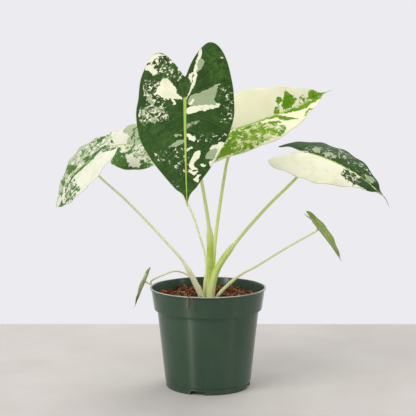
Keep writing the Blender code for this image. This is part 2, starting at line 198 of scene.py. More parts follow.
def variegationGroup():
    # dark green, lighter green, grey-green and cream, each over the last, with ragged edges
    tree, given, out = newGroup("variegation", [
        "Place:Vector", "Cream Field", "Grey Field", "Light Field", "Grain", "Dark:Color", "Mid:Color",
        "Light:Color", "Grey:Color", "Cream:Color", "Cream Shade:Color"], ["Color:Color", "Pale"])

    def ragged(offset, scale, detail, gain):
        place = shifted(given["Place"], offset)
        return (cloudNoise(place, given["Grain"] * scale, detail, 0.7, 0.55) - 0.5) * gain

    broad = ragged((0, 0, 40), 0.09, 2.0, 2.4)
    flecks = ragged((13, 5, 60), 1.1, 3.0, 3.0)
    splash = ragged((0, 0, 0), 0.31, 7.0, 5.8)
    wash = ragged((27, 11, 20), 0.22, 6.0, 5.0)
    base = mixed(ramp(broad + flecks, -0.5, 1.3), given["Dark"], given["Mid"])
    greener = mixed(ramp(given["Light Field"] + wash, -0.5, 1.1, 0.0, 0.8), base, given["Light"])
    greyMask = ramp(given["Grey Field"] + wash * 0.9, -0.1, 0.16)
    greyTone = mixed(ramp(flecks, 0.1, 0.9, 0.0, 0.45), given["Grey"], given["Light"])
    creamMask = ramp(given["Cream Field"] + splash, -0.07, 0.09)
    creamTone = mixed(ramp(broad + flecks * 0.4, -0.2, 0.8), given["Cream"], given["Cream Shade"])
    feed(out["Color"], mixed(creamMask, mixed(greyMask, greener, greyTone), creamTone))
    feed(out["Pale"], calc("MAXIMUM", creamMask, greyMask * 0.6))
    return tree


softMottle = softMottleGroup()
fibreGrain = fibreGrainGroup()
edgeScuff = edgeScuffGroup()
leafVeins = leafVeinsGroup()
variegation = variegationGroup()


def mottle(position, size, contrast):
    return placeGroup(softMottle, {"Position": position, "Size": size, "Contrast": contrast})


def fibres(position, length, width):
    return placeGroup(fibreGrain, {"Position": position, "Length": length, "Width": width})


def scuffs(position, wear, size):
    return placeGroup(edgeScuff, {"Wear": wear, "Position": position, "Size": size})["Mask"]


def newMaterial(name, **shader):
    # the constants go straight on the shader's own sockets
    material = bpy.data.materials.new(name)
    material.use_nodes = True
    skin = material.node_tree.nodes["Principled BSDF"]
    for label, value in shader.items():
        skin.inputs[label.replace("_", " ")].default_value = value
    return material, material.node_tree, skin


def millimetres(tree):
    where = Signal(put(tree, "TexCoord").outputs["Object"])
    return Signal(put(tree, "VectorMath", {0: where, "Scale": 1000.0}, operation="SCALE").outputs[0])


def stored(tree, name, output="Fac"):
    return Signal(put(tree, "Attribute", attribute_name=name).outputs[output])


def setSkin(skin, colour, roughness, *bump):
    # bump is a height, its strength and its distance
    feed(skin.inputs["Base Color"], colour)
    feed(skin.inputs["Roughness"], roughness)
    if bump:
        node = put(skin.id_data, "Bump", dict(zip(("Height", "Strength", "Distance"), bump)))
        feed(skin.inputs["Normal"], Signal(node.outputs["Normal"]))


print("shader groups made")


# Meshes

def newPiece(name, verts, faces, material, replaces=(), values=None, sharp=None):
    mesh = bpy.data.meshes.new(name)
    mesh.from_pydata(np.asarray(verts, float).tolist(), [], [tuple(f) for f in faces])
    mesh.update()
    mesh.materials.append(material)
    mesh.shade_smooth()
    if sharp:
        mesh.set_sharp_from_angle(angle=math.radians(sharp))
    storeValues(mesh, values or {})
    obj = bpy.data.objects.new(name, mesh)
    scene.collection.objects.link(obj)
    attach(obj, "root")
    if replaces:
        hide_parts(*replaces)
    return obj


def storeValues(mesh, values):
    # one number or one vector for each point
    for label, numbers in values.items():
        numbers = np.asarray(numbers, np.float32)
        flat = numbers.ndim == 1
        layer = mesh.attributes.new(label, "FLOAT" if flat else "FLOAT_VECTOR", "POINT")
        layer.data.foreach_set("value" if flat else "vector", numbers.ravel())


def smoothPath(points, perSpan):
    # points on a Catmull-Rom curve through a route
    p = np.asarray(points, float)
    p = np.vstack([2 * p[0] - p[1], p, 2 * p[-1] - p[-2]])
    t = np.arange(perSpan)[:, None] / perSpan
    spans = []
    for a, b, c, d in zip(p[:-3], p[1:-2], p[2:-1], p[3:]):
        spans.append(0.5 * (2 * b + (c - a) * t + (2 * a - 5 * b + 4 * c - d) * t ** 2
                            + (3 * b - a - 3 * c + d) * t ** 3))
    return np.vstack(spans + [p[-2][None]])


def unit(v):
    v = np.asarray(v, float)
    return v / np.maximum(np.linalg.norm(v, axis=-1, keepdims=True), 1e-12)


def smoothStep(value, low, high):
    s = np.clip((value - low) / (high - low), 0, 1)
    return s * s * (3 - 2 * s)


def roundAngles(count):
    return 2 * np.pi * np.arange(count) / count


def pathFrames(path, side, ends=(None, None)):
    # side and up at each point of a path, with the side kept as straight as it goes
    tangent = unit(np.gradient(path, axis=0))
    for index, fixed in zip((0, -1), ends):
        if fixed is not None:
            tangent[index] = unit(fixed)
    sides = []
    side = np.asarray(side, float)
    for t in tangent:
        side = unit(side - t * side.dot(t))
        sides.append(side)
    sides = np.array(sides)
    return sides, np.cross(tangent, sides)


def spokes(side, up, angle):
    # directions round each point of a path
    return np.cos(angle)[None, :, None] * side[:, None] + np.sin(angle)[None, :, None] * up[:, None]


def tubeFaces(rings, count, start=0):
    # side faces and two end caps of a tube whose rings have count points
    faces = []
    for i in range(rings - 1):
        a, b = start + i * count, start + (i + 1) * count
        faces += [(a + k, a + (k + 1) % count, b + (k + 1) % count, b + k) for k in range(count)]
    faces.append(tuple(start + k for k in reversed(range(count))))
    faces.append(tuple(start + (rings - 1) * count + k for k in range(count)))
    return faces


def latheFaces(rings, segments):
    # from a point on the axis, over the rings, to another point on the axis
    faces, top = [], 1 + (rings - 1) * segments
    for i in range(segments):
        j = (i + 1) % segments
        faces.append((0, 1 + j, 1 + i))
        for a in range(1, top, segments):
            b = a + segments
            faces.append((a + i, a + j, b + j, b + i))
        faces.append((top + i, top + j, top + segments))
    return faces


def lumps(points, size, seed):
    # smooth noise from -1 to 1 at a list of points
    return np.array([noise.noise(Vector((p[0] / size + seed, p[1] / size, p[2] / size))) for p in points])


# Pot

pot = dict(
    rimRadius=0.054, rimHeight=0.093, lipThick=0.0015, lipCorner=0.0005,
    collarTop=0.0528, collarFoot=0.0502, collarFootHeight=0.0731, collarLean=0.019,
    wallTop=0.0472, base=0.0397, wall=0.0010, floorTop=0.0032,
    recessDepth=0.0020, footInner=0.0310, boss=0.0090,
    footBand=0.0056, footInset=0.00035,       # the moulded step just above the surface
    drains=4, drainWidth=0.0130, drainHeight=0.0034, drainCorner=0.0011, firstDrain=math.radians(-104),
    segments=216, step=0.0016, unevenness=0.00018, rimWaves=0.00012,
    # rim and lip wear is partly real scuffing and partly a painted highlight on the lip's edges
    rimWearAndHighlight=1.0, lipWearAndHighlight=0.75, collarWear=0.36, footWear=0.42, wearWidth=0.0008,
    footDust=0.6, footDustTop=0.004, innerDust=0.55, innerDustTop=0.0905, innerDustFade=0.006,
    green="#33503b", deepGreen="#28442f", scuffAndHighlight="#b4b9a9", soil="#6b5a48",
)


def roundedOutline(corners, step, arcPoints=4):
    # corners are (radius, height, rounding), and straights are divided into steps
    out = [np.array(corners[0][:2], float)]
    for i in range(1, len(corners)):
        here = np.array(corners[i][:2], float)
        if i < len(corners) - 1:
            before, after = np.array(corners[i - 1][:2]), np.array(corners[i + 1][:2])
            toBefore, toAfter = before - here, after - here
            reach = min(corners[i][2], 0.45 * np.linalg.norm(toBefore), 0.45 * np.linalg.norm(toAfter))
            start, end = here + unit(toBefore) * reach, here + unit(toAfter) * reach
        else:
            start = end = here
        count = max(1, int(math.ceil(np.linalg.norm(start - out[-1]) / step)))
        out += [out[-1] + (start - out[-1]) * k / count for k in range(1, count + 1)]
        if start is not end:
            for k in range(1, arcPoints + 1):
                s = k / arcPoints
                out.append((1 - s) ** 2 * start + 2 * s * (1 - s) * here + s * s * end)
    return np.array(out)


def latheMesh(outline, segments, centre=(0.0, 0.0)):
    # the outline starts and ends on the axis
    angle = roundAngles(segments)
    ring = outline[1:-1]
    body = np.stack([centre[0] + ring[:, :1] * np.cos(angle), centre[1] + ring[:, :1] * np.sin(angle),
                     np.repeat(ring[:, 1:], segments, 1)], -1).reshape(-1, 3)
    verts = np.vstack([[(*centre, outline[0][1])], body, [(*centre, outline[-1][1])]])
    return verts, latheFaces(len(ring), segments)


def potMaterial():
    material, tree, skin = newMaterial("potPlastic", Metallic=0.0, Coat_Weight=0.0, Anisotropic=0.8,
                                       Anisotropic_Rotation=0.25)
    where = millimetres(tree)
    dust = stored(tree, "dust")
    grit = mottle(where, 0.8, 1.6)
    # the pale edge colour is real scuffing, and on the rim and lip also a painted highlight
    wornAndHighlit = scuffs(where, stored(tree, "wear"), 2.2)
    body = mixed(mottle(where, 34.0, 2.2)["Value"], pot["deepGreen"], pot["green"])
    body = mixed(wornAndHighlit, body, pot["scuffAndHighlight"])
    body = mixed(scuffs(where, dust, 5.0) * 0.35, body, pot["soil"])
    rough = grit["Value"] * 0.06 + 0.26 + dust * 0.4 + wornAndHighlit * 0.25
    height = grit["Height"] * 0.12 + mottle(where, 9.0, 1.0)["Height"]
    setSkin(skin, body, rough, height, 0.22, 0.0004)
    return material


def potOutline():
    p = pot
    lipLow = p["rimHeight"] - p["lipThick"]
    foot = p["base"] - p["footInset"]
    corner = p["lipCorner"]
    return roundedOutline([
        (0.0, 0.0, 0), (p["boss"], 0.0, 0.0002), (p["boss"] + 0.0006, p["recessDepth"], 0.0004),
        (p["footInner"], p["recessDepth"], 0.0004), (p["footInner"] + 0.0006, 0.0, 0.0003),
        (foot, 0.0, 0.0009), (foot + 0.0002, p["footBand"] - 0.0003, 0.0003),
        (p["base"] + 0.0005, p["footBand"] + 0.0003, 0.0003),
        (p["wallTop"], p["collarFootHeight"] - 0.0007, 0.0006),
        (p["collarFoot"] - 0.0003, p["collarFootHeight"] - 0.0005, 0.0005),
        (p["collarFoot"], p["collarFootHeight"] + 0.0010, 0.0008),
        (p["collarTop"], lipLow - 0.0002, 0.0004), (p["rimRadius"], lipLow + 0.0001, corner),
        (p["rimRadius"], p["rimHeight"], corner),
        (p["collarTop"] - p["wall"] + 0.0005, p["rimHeight"], corner),
        (p["collarTop"] - p["wall"], lipLow - 0.0006, 0.0008),
        (p["collarFoot"] - p["wall"], p["collarFootHeight"] + 0.0012, 0.0012),
        (p["wallTop"] - p["wall"], p["collarFootHeight"] - 0.0012, 0.0012),
        (p["base"] - p["wall"] + 0.0003, p["floorTop"], 0.0012), (0.0, p["floorTop"], 0)], p["step"])


def makePot():
    p = pot
    verts, faces = latheMesh(potOutline(), p["segments"])
    angle = np.arctan2(verts[:, 1], verts[:, 0])
    rise = verts[:, 2] / p["rimHeight"]
    sway = np.sin(2 * angle + 0.7) + 0.5 * np.sin(5 * angle + 2)
    verts[:, :2] *= (1 + p["unevenness"] / p["rimRadius"] * rise * sway)[:, None]
    verts[:, 2] += np.where(rise > 0.95, p["rimWaves"] * np.sin(3 * angle + 1.1) * np.cos(7 * angle), 0.0)

    obj = newPiece("nurseryPot", verts, faces, potMaterial(), ["nursery_pot"], sharp=50)
    cutters = []
    for i in range(p["drains"]):
        turn = p["firstDrain"] + 2 * math.pi * i / p["drains"]
        bpy.ops.mesh.primitive_cube_add(size=1)
        block = bpy.context.object
        block.name = "drainBlock%d" % i
        depth = p["base"] - p["footInner"]
        block.data.transform(Matrix.Diagonal((depth + 0.001, p["drainWidth"], p["drainHeight"] * 2, 1)))
        bevel = block.modifiers.new("round", "BEVEL")
        bevel.width, bevel.segments = p["drainCorner"], 4
        block.matrix_world = (Matrix.Rotation(turn, 4, "Z")
                              @ Matrix.Translation((p["footInner"] + 0.002 + depth / 2, 0, 0)))
        cut = obj.modifiers.new("drain%d" % i, "BOOLEAN")
        cut.operation, cut.solver, cut.object = "DIFFERENCE", "EXACT", block
        cutters.append(block)
    bpy.context.view_layer.update()
    cutMesh = bpy.data.meshes.new_from_object(obj.evaluated_get(bpy.context.evaluated_depsgraph_get()))
    obj.modifiers.clear()
    obj.data = cutMesh
    for block in cutters:
        bpy.data.objects.remove(block, do_unlink=True)

    # wear on the proud edges, with a painted highlight along the rim and the lip's inner edge, and dust at
    # the foot and above the mix
    co = np.array([v.co for v in cutMesh.vertices])
    r, z = np.hypot(co[:, 0], co[:, 1]), co[:, 2]
    edges = [(p["rimRadius"], p["rimHeight"], p["rimWearAndHighlight"]),
             (p["rimRadius"] - 0.0013, p["rimHeight"], p["lipWearAndHighlight"]),
             (p["collarFoot"], p["collarFootHeight"], p["collarWear"]),
             (p["base"], p["footBand"], p["footWear"])]
    wear = np.max([strength * np.exp(-((r - er) ** 2 + (z - ez) ** 2) / p["wearWidth"] ** 2)
                   for er, ez, strength in edges], 0)
    dust = np.clip(1 - z / p["footDustTop"], 0, 1) * p["footDust"]
    above = z - p["collarFootHeight"]
    wallMiddle = (p["collarFoot"] + (p["collarTop"] - p["collarFoot"]) * above / p["collarLean"]
                  - p["wall"] / 2)
    soiled = np.clip((p["innerDustTop"] - z) / p["innerDustFade"], 0, 1) * p["innerDust"]
    dust = np.maximum(dust, np.where((r < wallMiddle) & (above > 0), soiled, 0))
    storeValues(cutMesh, {"wear": wear, "dust": dust})


makePot()
print("pot made")


# Leaves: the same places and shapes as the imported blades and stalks. A mark is (kind, level, softness,
# outline), and the outline is pairs of millimetres ahead of the stalk and out to the right half.
# A level of 1 is solid, and a lower one breaks into specks.

plainLeaf = dict(sweep=0.0, lobe=(0.52, 0.52), lobeEnd=(0.5, 0.5), join=0.16, widest=0.12, lobeFold=(0, 0),
                 flush=0.0, pale=0.15, veins=6, creamBase=(-1, -1), thread=(0.0, 0.0), quilting=0.45,
                 bending=1.0, grain=1.0)

leaves = {
    "front_leaf": dict(
        at=(-0.02, -0.05, 0.267), yaw=-89, dip=53, roll=10, length=0.108, droop=-2, lobeDroop=-17,
        sweep=-0.04, width=(0.045, 0.043), lobe=(0.47, 0.5), lobeEnd=(0.51, 0.55), join=0.22, widest=0.11,
        fold=(1, 4), curl=(-18, -18), lobeFold=(-1, 6), tipFold=(-4, -5), grid=(190, 70, 52), wave=0.0008,
        veins=7, palette="deep", thread=(0.0035, 0.1), quilting=1.5, bending=0.75,
        radii=(0.0027, 0.0029, 0.0021, 0.0012), sheath=0.365, wing=0.0008, wingSide=(0.95, -0.3, 0.0),
        flush=0.9,
        stalk=[(0.0006, -0.0006), (0.0012, -0.0006, 0.093), (0.0017, -0.0034, 0.117), (0.0012, -0.009,
               0.147), (-0.0052, -0.019, 0.1895), (-0.0135, -0.032, 0.231)],
        marks=[
            ("cream", 1, 1.0, (-26, 19, -18, 10, -11, 8, 0, 2, -2, 9, -2, 15, -6, 22, -11, 27, -15, 25, -19,
                23)),
            ("cream", 1, 0.6, (-2, 12, 0, 9, 4, 8, 5, 10)),
            ("cream", 1, 0.8, (-44, 35, -47, 33, -50, 28, -50, 22, -48, 18, -47, 23, -44, 28, -43, 33)),
            ("cream", 0.7, 1.6, (-41, 36, -40, 28, -36, 26, -29, 22, -31, 29, -35, 35)),
            ("cream", -0.22, 3.0, (-42, 37, -46, 34, -50, 28, -48, 18, -40, 11, -27, 3, -21, 6, -24, 11, -33,
                19, -37, 24, -38, 31)),
            ("cream", -0.2, 3.0, (-25, 38, -24, 31, -20, 24, -14, 27, -5, 26, -3, 20, 3, 19, 5, 22, 6, 28,
                -1, 33, -15, 37)),
            ("grey", 0.8, 1.2, (-17, 37, -12, 33, -3, 26, 2, 28, 1, 31, -6, 34)),
            ("cream", -0.14, 2.2, (5, 43, 3, 37, 4, 31, 4, 19, 18, 15, 18, 24, 17, 36, 13, 41)),
            ("grey", -0.1, 2.0, (0, 40, 3, 20, 20, 14, 20, 38)),
            ("cream", 0.9, 0.5, (-26, -4.6, -26, -7, -18, -7, -16, -5, -22, -4)),
            ("cream", 1, 0.4, (-49, -16, -45, -17, -39, -15, -35, -12, -21, -11, -15, -9.5, -8, -6, 1, -1,
                -6, -3, -13, -6, -20, -7.5, -32, -9, -39, -12, -46, -14)),
            ("grey", 0.9, 0.9, (-39, -15, -38, -18, -32, -17, -27, -14, -26, -11, -36, -12)),
            ("grey", 1, 0.5, (-3, -5, -5, -13, -8, -20, -12, -28, -8, -29, -2, -27, 3, -25, 7, -27, 8, -21,
                8, -12, 8, -5, 5, -2)),
            ("cream", 0.5, 0.6, (9, -2, 8, -12, 8, -21, 7, -30, 11, -30, 13, -28, 14, -20, 15, -12, 17, -3,
                15, -1)),
            ("cream", 1, 0.6, (7, -2, 5, -4, 1, -7, 2, -9, 7, -6)),
            ("cream", 1, 0.9, (-38, -32, -36, -33, -37, -35)),
            ("cream", 1, 0.9, (-1, -36, 1, -37, 0, -39)),
            ("cream", 1, 0.9, (17, -37, 19, -38, 18, -40)),
            ("cream", 1, 0.9, (23, -33, 25, -34, 24, -36)),
            ("cream", -0.34, 3.0, (-13, -29, -5, -41, 5, -41, 18, -42, 26, -39, 26, -33, 13, -36, -2, -33)),
            ("light", 0.1, 5.0, (-50, -25, -39, -35, -23, -38, -15, -32, -19, -23, -38, -21)),
            ("light", 0.3, 3.0, (-40, 22, -37, 14, -24, 11, -22, 14, -32, 21)),
            ("light", -0.35, 5.0, (14, 2, 20, 38, 40, 34, 62, 18, 60, 3, 35, 2)),
            ("cream", 0.9, 0.7, (37, -1, 37, -4, 42, -9, 45, -8, 44, -3)),
            ("grey", 0.6, 0.9, (41, 0, 42, 5, 45, 10, 51, 15, 49, 12, 48, 6, 46, 0)),
            ("grey", 0.8, 1.0, (36, 9, 35, 6, 38, 3, 39, 7)),
            ("grey", 0.0, 1.4, (26, -2, 25, -13, 29, -8, 31, -2)),
            ("cream", 0.9, 0.8, (55, -16, 55, -19, 50, -24, 47, -31, 47, -33, 57, -30, 64, -26, 69, -23, 72,
                -20, 67, -20, 64, -24, 58, -26, 55, -28, 54, -21)),
            ("grey", 0.8, 1.0, (57, -20, 54, -21, 55, -28, 60, -26, 64, -24, 65, -16, 59, -18)),
            ("cream", 1, 0.5, (54, -11, 55, -12.5, 62, -11.5, 65, -9, 68, -7, 72, -7, 74, -11, 75, -5, 71,
                -2.5, 67, -3, 61, -6, 57, -8)),
            ("cream", 0.9, 0.5, (73, -1, 76, -6, 76, -12, 79, -6, 77, -4)),
            ("cream", 0.9, 0.5, (52, -2, 50, -5, 52, -7, 54, -3)),
            ("cream", 0.8, 0.6, (69, -11, 69, -15, 70, -17, 72, -16, 70.5, -12)),
            ("cream", 0.8, 0.6, (84, -6, 80, -9, 80, -13, 86, -10, 88, -9, 86, -8)),
            ("cream", -0.36, 3.0, (42, -9, 41, -25, 39, -34, 46, -32, 46, -19, 46, -9)),
            ("cream", -0.38, 3.0, (54, 26, 50, 14, 49, 0, 75, 0, 76, 3, 61, 14, 57, 24)),
            ("cream", -0.3, 2.0, (84, 15, 88, 6, 90, 7, 86, 12)),
        ]),
    "back_right_leaf": dict(
        at=(0.0278, 0.035, 0.238), yaw=21, dip=-16, roll=49, length=0.111, droop=10, lobeDroop=22,
        sweep=-0.28, width=(0.036, 0.036), lobe=(0.52, 0.5), lobeEnd=(0.53, 0.5), join=0.18, widest=0.18,
        fold=(24, 15), curl=(-9, -17), lobeFold=(-2, 0), tipFold=(13, 12), grid=(180, 64, 44), wave=0.0007,
        veins=7, palette="paintedBacklitGlow", creamBase=(1, 1), thread=(0.0075, 0.2), quilting=0.15, grain=0.62,
        radii=(0.0022, 0.0021, 0.0019, 0.0013), sheath=0.3, wing=0.0005, wingSide=(0.6, 0.7, 0.0), flush=0.5,
        stalk=[(0.0024, 0.0048), (0.0034, 0.0048, 0.0945), (0.005, 0.006, 0.118), (0.0084, 0.0115, 0.149),
               (0.0149, 0.021, 0.191), (0.0187, 0.029, 0.21)],
        marks=[
            ("green", 0.8, 1.6, (-1, 4, 15, 1, 21, 3, 25, 17, 23, 25, 15, 27, 13, 17, 9, 12, 1, 12)),
            ("green", 0.9, 0.9, (22, 0, 34, -1, 43, 0, 50, 11, 56, 21, 43, 14, 41, 5, 33, 2)),
            ("green", 0.9, 1.2, (47, 1, 66, 1, 81, 1, 92, 1, 106, 0, 96, 6, 83, 8, 74, 11, 63, 8)),
            ("green", 0.9, 1.6, (52, -2, 54, -9, 60, -14, 63, -20, 69, -12, 68, -6, 63, -2, 57, -1)),
            ("green", 0.5, 1.2, (50, -16, 57, -17, 56, -11, 50, -10)),
            ("green", 0.3, 1.5, (44, -8, 50, -7, 48, -1, 43, -2)),
            ("green", -0.15, 2.4, (66, -12, 84, -4, 82, 0, 68, 0)),
            ("green", 0.4, 1.8, (84, -3, 92, -10, 98, -6, 108, 0, 95, 2, 88, 0)),
            ("green", 0.5, 1.2, (64, 21, 75, 13, 78, 16, 66, 22)),
            ("green", 0.8, 1.8, (-8, 1, -3, -2, -3, 7, -8, 17, -9, 28, -12, 34, -19, 31, -28, 30, -34, 30,
                -27, 22, -17, 12)),
            ("green", 0.6, 2.4, (-2, 11, 7, 14, 13, 27, 14, 31, 3, 35, -8, 35, -8, 29)),
            ("green", 0.16, 2.6, (30, 6, 40, 12, 38, 27, 33, 33, 25, 32, 24, 23)),
            ("green", 0.3, 4.0, (-6, -2, -20, -6, -46, -22, -30, -26, -10, -16)),
            ("green", 0.3, 3.0, (-6, 2, 24, 3, 30, 14, 24, 28, 4, 34, -10, 34)),
            ("grey", -0.1, 4.0, (-10, 3, 20, 4, 40, 20, 20, 34, -20, 34)),
        ]),
    "right_leaf": dict(
        at=(0.0963, 0.0, 0.2163), yaw=-19, dip=15, roll=8, length=0.077, droop=30, lobeDroop=27, sweep=-0.03,
        width=(0.037, 0.037), lobe=(0.49, 0.5), lobeEnd=(0.54, 0.51), join=0.09, widest=0.16, fold=(-14, 22),
        curl=(-22, -33), lobeFold=(6, -6), tipFold=(5, 3), grid=(140, 60, 44), wave=0.0007, palette="deep",
        creamBase=(1, -1), thread=(0.011, 1.1),
        radii=(0.0032, 0.0023, 0.00175, 0.0013), sheath=0.35, wing=0.0011, wingSide=(-0.7, -0.25, 0.7),
        flush=0.55,
        stalk=[(0.003, -0.0058), (0.0042, -0.006, 0.095), (0.0105, -0.004, 0.1135), (0.0296, 0.0005, 0.139),
               (0.0555, 0.0035, 0.168), (0.08, 0.006, 0.192)],
        marks=[
            ("grey", 0.7, 1.2, (-4, -9, 1, -14, 6, -9, 5, -4, 0, -4)),
            ("grey", 0.5, 1.4, (7, -6, 12, -13, 18, -12, 12, -4)),
            ("grey", -0.28, 3.0, (-10, -6, 3, -22, 16, -28, 37, -24, 48, -17, 52, -1, 36, -1, 5, -1)),
            ("grey", 0.7, 1.2, (51, -5, 56, -10, 62, -9, 60, -3, 54, -1)),
            ("cream", -0.46, 3.0, (3, -19, 16, -26, 37, -22, 50, -16, 56, -2, 36, -3, 12, -5)),
            ("cream", 0.8, 0.8, (-36, -11, -28, -5.5, -14, -3, -4, -1, -14, -1, -30, -2.5)),
            ("green", 0.15, 3.2, (33, 2, 37, 2, 51, 3, 60, 5, 63, 11, 50, 17, 44, 16, 35, 13)),
            ("green", 1, 1.6, (50, 0, 58, 0, 76, 0, 70, 5, 61, 12, 52, 14, 49, 7)),
        ]),
    "small_right_leaf": dict(
        at=(0.1003, -0.02, 0.1497), yaw=-8, dip=50, roll=6, length=0.036, droop=8, lobeDroop=10,
        width=(0.0125, 0.0125), fold=(24, 24), curl=(-10, -10), tipFold=(4, 4), grid=(80, 36, 22),
        wave=0.0004, palette="olive",
        radii=(0.0016, 0.0013, 0.00115, 0.0009), sheath=0.28, wing=0.0006, wingSide=(-0.5, -0.1, 0.8),
        pale=0.4, flush=0.1,
        stalk=[(0.0082, -0.004), (0.0108, -0.0052, 0.0872), (0.0284, -0.0092, 0.1045), (0.0458, -0.012,
               0.1148), (0.0612, -0.014, 0.1249), (0.083, -0.017, 0.1385)],
        marks=[
            ("cream", 0.6, 1.2, (-14, 10, 6, 13, 20, 9, 6, 10, -10, 7)),
            ("light", 0.6, 2.0, (-10, -10, 12, -11, 26, -3, 10, -2, -6, -3)),
            ("grey", 0.2, 2.0, (-12, 2, 14, 3, 26, 3, 10, 8)),
        ]),
    "left_leaf": dict(
        at=(-0.1078, -0.02, 0.211), yaw=171, dip=35, roll=-48, length=0.063, droop=47, lobeDroop=2,
        sweep=0.02, width=(0.034, 0.035), lobeEnd=(0.56, 0.52), widest=0.22, fold=(-13, 10), curl=(-6, 7),
        lobeFold=(-7, 14), tipFold=(-2, -5), grid=(130, 56, 42), wave=0.0007, palette="pale", creamBase=(1,
        1),
        radii=(0.0027, 0.0021, 0.0015, 0.0011), sheath=0.24, wing=0.0007, wingSide=(0.6, -0.2, 0.7),
        pale=0.7,
        stalk=[(-0.0052, -0.0052), (-0.0078, -0.006, 0.0885), (-0.0218, -0.0085, 0.1163), (-0.0398, -0.01,
               0.1378), (-0.0714, -0.012, 0.1717), (-0.099, -0.014, 0.1975)],
        marks=[
            ("wash", 0.18, 2.5, (-30, 38, -24, 11, 0, 5, 20, 1, 58, -2, 48, 26, 20, 38, 0, 42)),
            ("wash", 0.8, 2.5, (10, 36, -6, 38, -14, 33, 0, 27, 14, 25, 30, 20, 26, 30)),
            ("green", 0.8, 1.6, (-11, 26, -17, 31, -23, 26, -18, 20, -12, 18)),
            ("green", 0.8, 1.2, (-24, 8, -25, 1, -17, 4, -1, -3, 15, -4, 20, 0, 10, 1, 0, 2, -9, 7, -18,
                10)),
            ("green", 0.4, 1.6, (6, 8, 3, 12, -3, 8, -3, 1, 4, -1)),
            ("green", 0.9, 2.0, (34, 24, 26, 24, 18, 16, 11, 4, 20, 4, 27, 8)),
            ("green", 0.7, 1.6, (43, 18, 37, 15, 32, 2, 39, 3)),
            ("green", 0.6, 1.6, (48, 6, 36, -5, 42, -8)),
            ("green", 0.9, 1.6, (53, -10, 44, -10, 36, -23, 23, -36, 40, -26)),
            ("green", 0.4, 1.4, (25, 4, 18, -2, 22, -6)),
            ("green", 0.05, 3.0, (30, 2, 20, -4, 16, -29, 22, -36, 37, -22, 34, -5)),
            ("grey", 0.5, 2.4, (-28, -2, -10, -6, -6, -12, -20, -14, -30, -8)),
        ]),
    "small_left_leaf": dict(
        at=(-0.0585, -0.005, 0.0985), yaw=176, dip=66, roll=-6, length=0.026, droop=4, lobeDroop=8,
        width=(0.009, 0.009), fold=(22, 22), curl=(-8, -8), tipFold=(2, 2), grid=(64, 30, 18), wave=0.0003,
        veins=5, palette="olive",
        radii=(0.0013, 0.0011, 0.00095, 0.0008), sheath=0.2, wing=0.0003, wingSide=(0.4, -0.2, 0.8),
        pale=0.5,
        stalk=[(-0.005, 0.0062), (-0.0085, 0.0058, 0.0925), (-0.0189, 0.004, 0.1032), (-0.03, 0.001, 0.1075),
               (-0.042, -0.002, 0.1043), (-0.052, -0.004, 0.0995)],
        marks=[
            ("cream", 0.15, 1.6, (-12, -8, -2, -9, 10, -7, 16, -3, 6, -1, -8, -2)),
            ("grey", 0.3, 1.6, (-8, 1, 4, 2, 14, 2, 6, 8, -6, 8)),
        ]),
    "back_left_leaf": dict(
        at=(-0.058, 0.032, 0.225), yaw=149, dip=4, roll=-60, length=0.076, droop=32, lobeDroop=7, sweep=0.25,
        width=(0.029, 0.03), lobe=(0.5, 0.5), lobeEnd=(0.5, 0.49), join=0.18, widest=0.11, fold=(-2, 11),
        curl=(-26, -11), lobeFold=(0, 10), tipFold=(11, 10), grid=(130, 50, 36), wave=0.0006, palette="pale",
        creamBase=(1, 1),
        radii=(0.0016, 0.0013, 0.0011, 0.001), sheath=0.26, wing=0.0004, wingSide=(0.5, -0.5, 0.3),
        pale=0.55,
        stalk=[(-0.0042, 0.0024), (-0.003, 0.0028, 0.0945), (-0.0017, 0.0045, 0.117), (-0.0106, 0.0105,
               0.1485), (-0.0182, 0.016, 0.167), (-0.036, 0.026, 0.1985)],
        marks=[
            ("green", 0.6, 0.9, (58, 9, 50, 7, 45, 2, 51, 3)),
            ("wash", 0.7, 1.6, (38, 16, 28, 30, 8, 32, 2, 0, 26, 1, 25, 9)),
            ("wash", 0.05, 2.0, (27, -1, 2, -1, -14, -12, -16, -27, -4, -24, 8, -14, 20, -9)),
            ("green", -0.05, 3.0, (22, 22, 8, 26, 4, 4, 20, 4)),
            ("green", 0.55, 2.0, (44, -4, 33, -3, 28, -10, 21, -11, 12, -26, 22, -28, 34, -23)),
            ("green", 0.6, 1.2, (22, -11, 16, -4, 12, -9, 17, -14)),
            ("green", 0.5, 1.6, (2, -18, -10, -23, -18, -26, -12, -30, -4, -31)),
            ("green", 0.9, 0.8, (28, -22, 13, -26, -4, -28.5, -4, -32, 13, -30, 28, -27)),
            ("green", 0.2, 2.4, (60, -12, 44, -14, 36, -4, 56, 0, 70, -2)),
        ]),
}
leaves = {name: {**plainLeaf, **leaf} for name, leaf in leaves.items()}

toneNames = ("Dark", "Mid", "Light", "Grey", "Cream", "Cream Shade", "Vein", "Midrib")
palettes = {
    "deep": ("#29441b", "#44692a", "#50792f", "#a1af88", "#efeed2", "#dfe1ba", "#9dbb5c", "#b0c95a"),
    # the back right blade's greens are its colour brightened to paint the glow of light shining through it
    "paintedBacklitGlow": ("#568b0a", "#a6ca2c", "#b0cf45", "#dbe09c", "#f4f2cf", "#efedb8", "#b9d27a", "#a2c84c"),
    "olive": ("#7d9747", "#93a854", "#a3b863", "#b7c489", "#e6e8c0", "#d6dca6", "#b5cc7a", "#c0d284"),
    "pale": ("#41682a", "#5f8c3c", "#84a85e", "#aebb98", "#e8e8d4", "#dadec4", "#b4c889", "#a9c070"),
}

